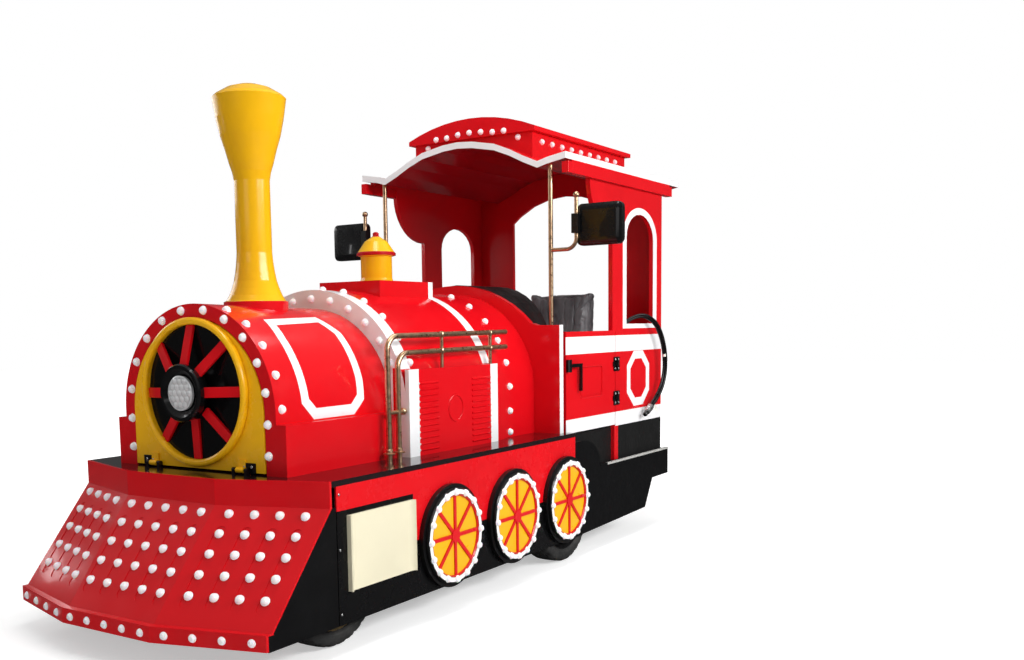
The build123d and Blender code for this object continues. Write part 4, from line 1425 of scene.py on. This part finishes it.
# blow the pad up as cloth, held flat on the side that it rests on
def fillPad(piece, facts, restAxis):
    remesh = piece.modifiers.new("grid", "REMESH")
    remesh.mode = "VOXEL"
    remesh.voxel_size = facts["voxel"]
    bakeModifier(piece)
    start = [v.co.copy() for v in piece.data.vertices]
    held = min(p[restAxis] for p in start) + facts["held"]
    group = piece.vertex_groups.new(name="resting")
    group.add([k for k, p in enumerate(start) if p[restAxis] < held], 1.0, "REPLACE")
    cloth = piece.modifiers.new("filling", "CLOTH")
    cloth.settings.vertex_group_mass = "resting"
    cloth.settings.use_pressure = True
    cloth.settings.uniform_pressure_force = facts["pressure"]
    cloth.settings.effector_weights.gravity = 0
    for number in range(1, facts["frames"] + 1):
        bpy.context.scene.frame_set(number)
    bakeModifier(piece)
    bpy.context.scene.frame_set(1)
    for v, p in zip(piece.data.vertices, start):
        move = v.co - p
        if move.length > facts["cap"]:
            v.co = p + move * facts["cap"] / move.length


def makePad(name, one, facts):
    size = Vector(one["size"])
    bm = bmesh.new()
    bmesh.ops.create_cube(bm, size=1)
    for v in bm.verts:
        v.co = Vector(a * b for a, b in zip(v.co, size))
    bmesh.ops.bevel(bm, geom=bm.edges[:], offset=facts["corner"], segments=4, profile=0.5, affect="EDGES")
    piece = addPiece(name, bm, finish["leather"])
    fillPad(piece, facts, one["face"])
    smooth = piece.modifiers.new("round", "SUBSURF")
    smooth.levels = smooth.render_levels = 1
    bakeModifier(piece)
    mesh = piece.data
    long = 2 if one["face"] == 0 else 0
    normals = [v.normal.copy() for v in mesh.vertices]
    for v, n in zip(mesh.vertices, normals):
        facing = max(0.0, n[one["face"]])
        seam = sum(exp(-((v.co.y - e * facts["seam"]) / facts["seamWidth"]) ** 2) for _, e in sides)
        spot = v.co.copy()
        spot[long] *= facts["creaseLong"]
        coarse, fine = facts["creaseScale"]
        fold = abs(noise.noise(spot * coarse)) + 0.5 * abs(noise.noise(spot * fine))
        crease = facts["crease"] * max(0.0, 1 - fold / facts["creaseWidth"])
        v.co -= n * (seam * facts["seamDepth"] * facing + crease)
    mesh.transform(Matrix.Translation(at(*one["centre"])) @ Matrix.Rotation(radians(one["tilt"]), 4, "Y"))
    mesh.shade_smooth()
    mesh.materials.clear()
    mesh.materials.append(finish["leather"])
    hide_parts("driver_seat")


for name, one in seatFacts.items():
    makePad(name, one, padFacts)


baseFacts = {
    "place": (-1.110, 0, 0.696),
    "size": (0.400, 0.380, 0.020),
    "layers": [(0, -0.012), (0.008, -0.012), (0.012, 0), (0.365, 0), (0.372, -0.010), (0.384, -0.010)],
}


def makeSeatBase(facts):
    bm = bmesh.new()
    shaped(bm, at(*facts["place"]), (0, 0, 1), *facts["size"], facts["layers"])
    piece = addPiece("seat_pedestal", bm, finish["soft_black"])
    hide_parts("driver_seat")


makeSeatBase(baseFacts)
print("stage: seat")

floorFacts = {"size": 60.0, "colour": 0.80, "reflected": 0.10, "glow": 0.45, "near": 2.2, "far": 6.0}


# white floor with a soft shadow; it fades to plain white far off, and is dim in reflections
def makeFloor(facts):
    bm = bmesh.new()
    bmesh.ops.create_grid(bm, x_segments=8, y_segments=8, size=facts["size"] / 2)
    piece = bpy.data.objects.new("floor", meshFrom(bm, "floor"))
    bpy.context.scene.collection.objects.link(piece)
    s = Shader("studio_floor")
    path = s.add("ShaderNodeLightPath")
    seen = path.outputs["Is Camera Ray"]
    plain = [(facts[key],) * 3 for key in ("colour", "reflected")]
    s.put("Base Color", s.mix(path.outputs["Is Glossy Ray"], *plain))
    s.put("Roughness", 0.9)
    s.put("Specular IOR Level", 0.0)
    s.put("Emission Color", (1, 1, 1, 1))
    away = s.sum("SQRT", s.sum("ADD", s.sum("MULTIPLY", s.x, s.x), s.sum("MULTIPLY", s.y, s.y)))
    glow = s.remap(away, facts["glow"], 1.0, facts["near"], facts["far"])
    s.put("Emission Strength", s.sum("MULTIPLY", seen, glow))
    piece.data.materials.append(s.material)


makeFloor(floorFacts)
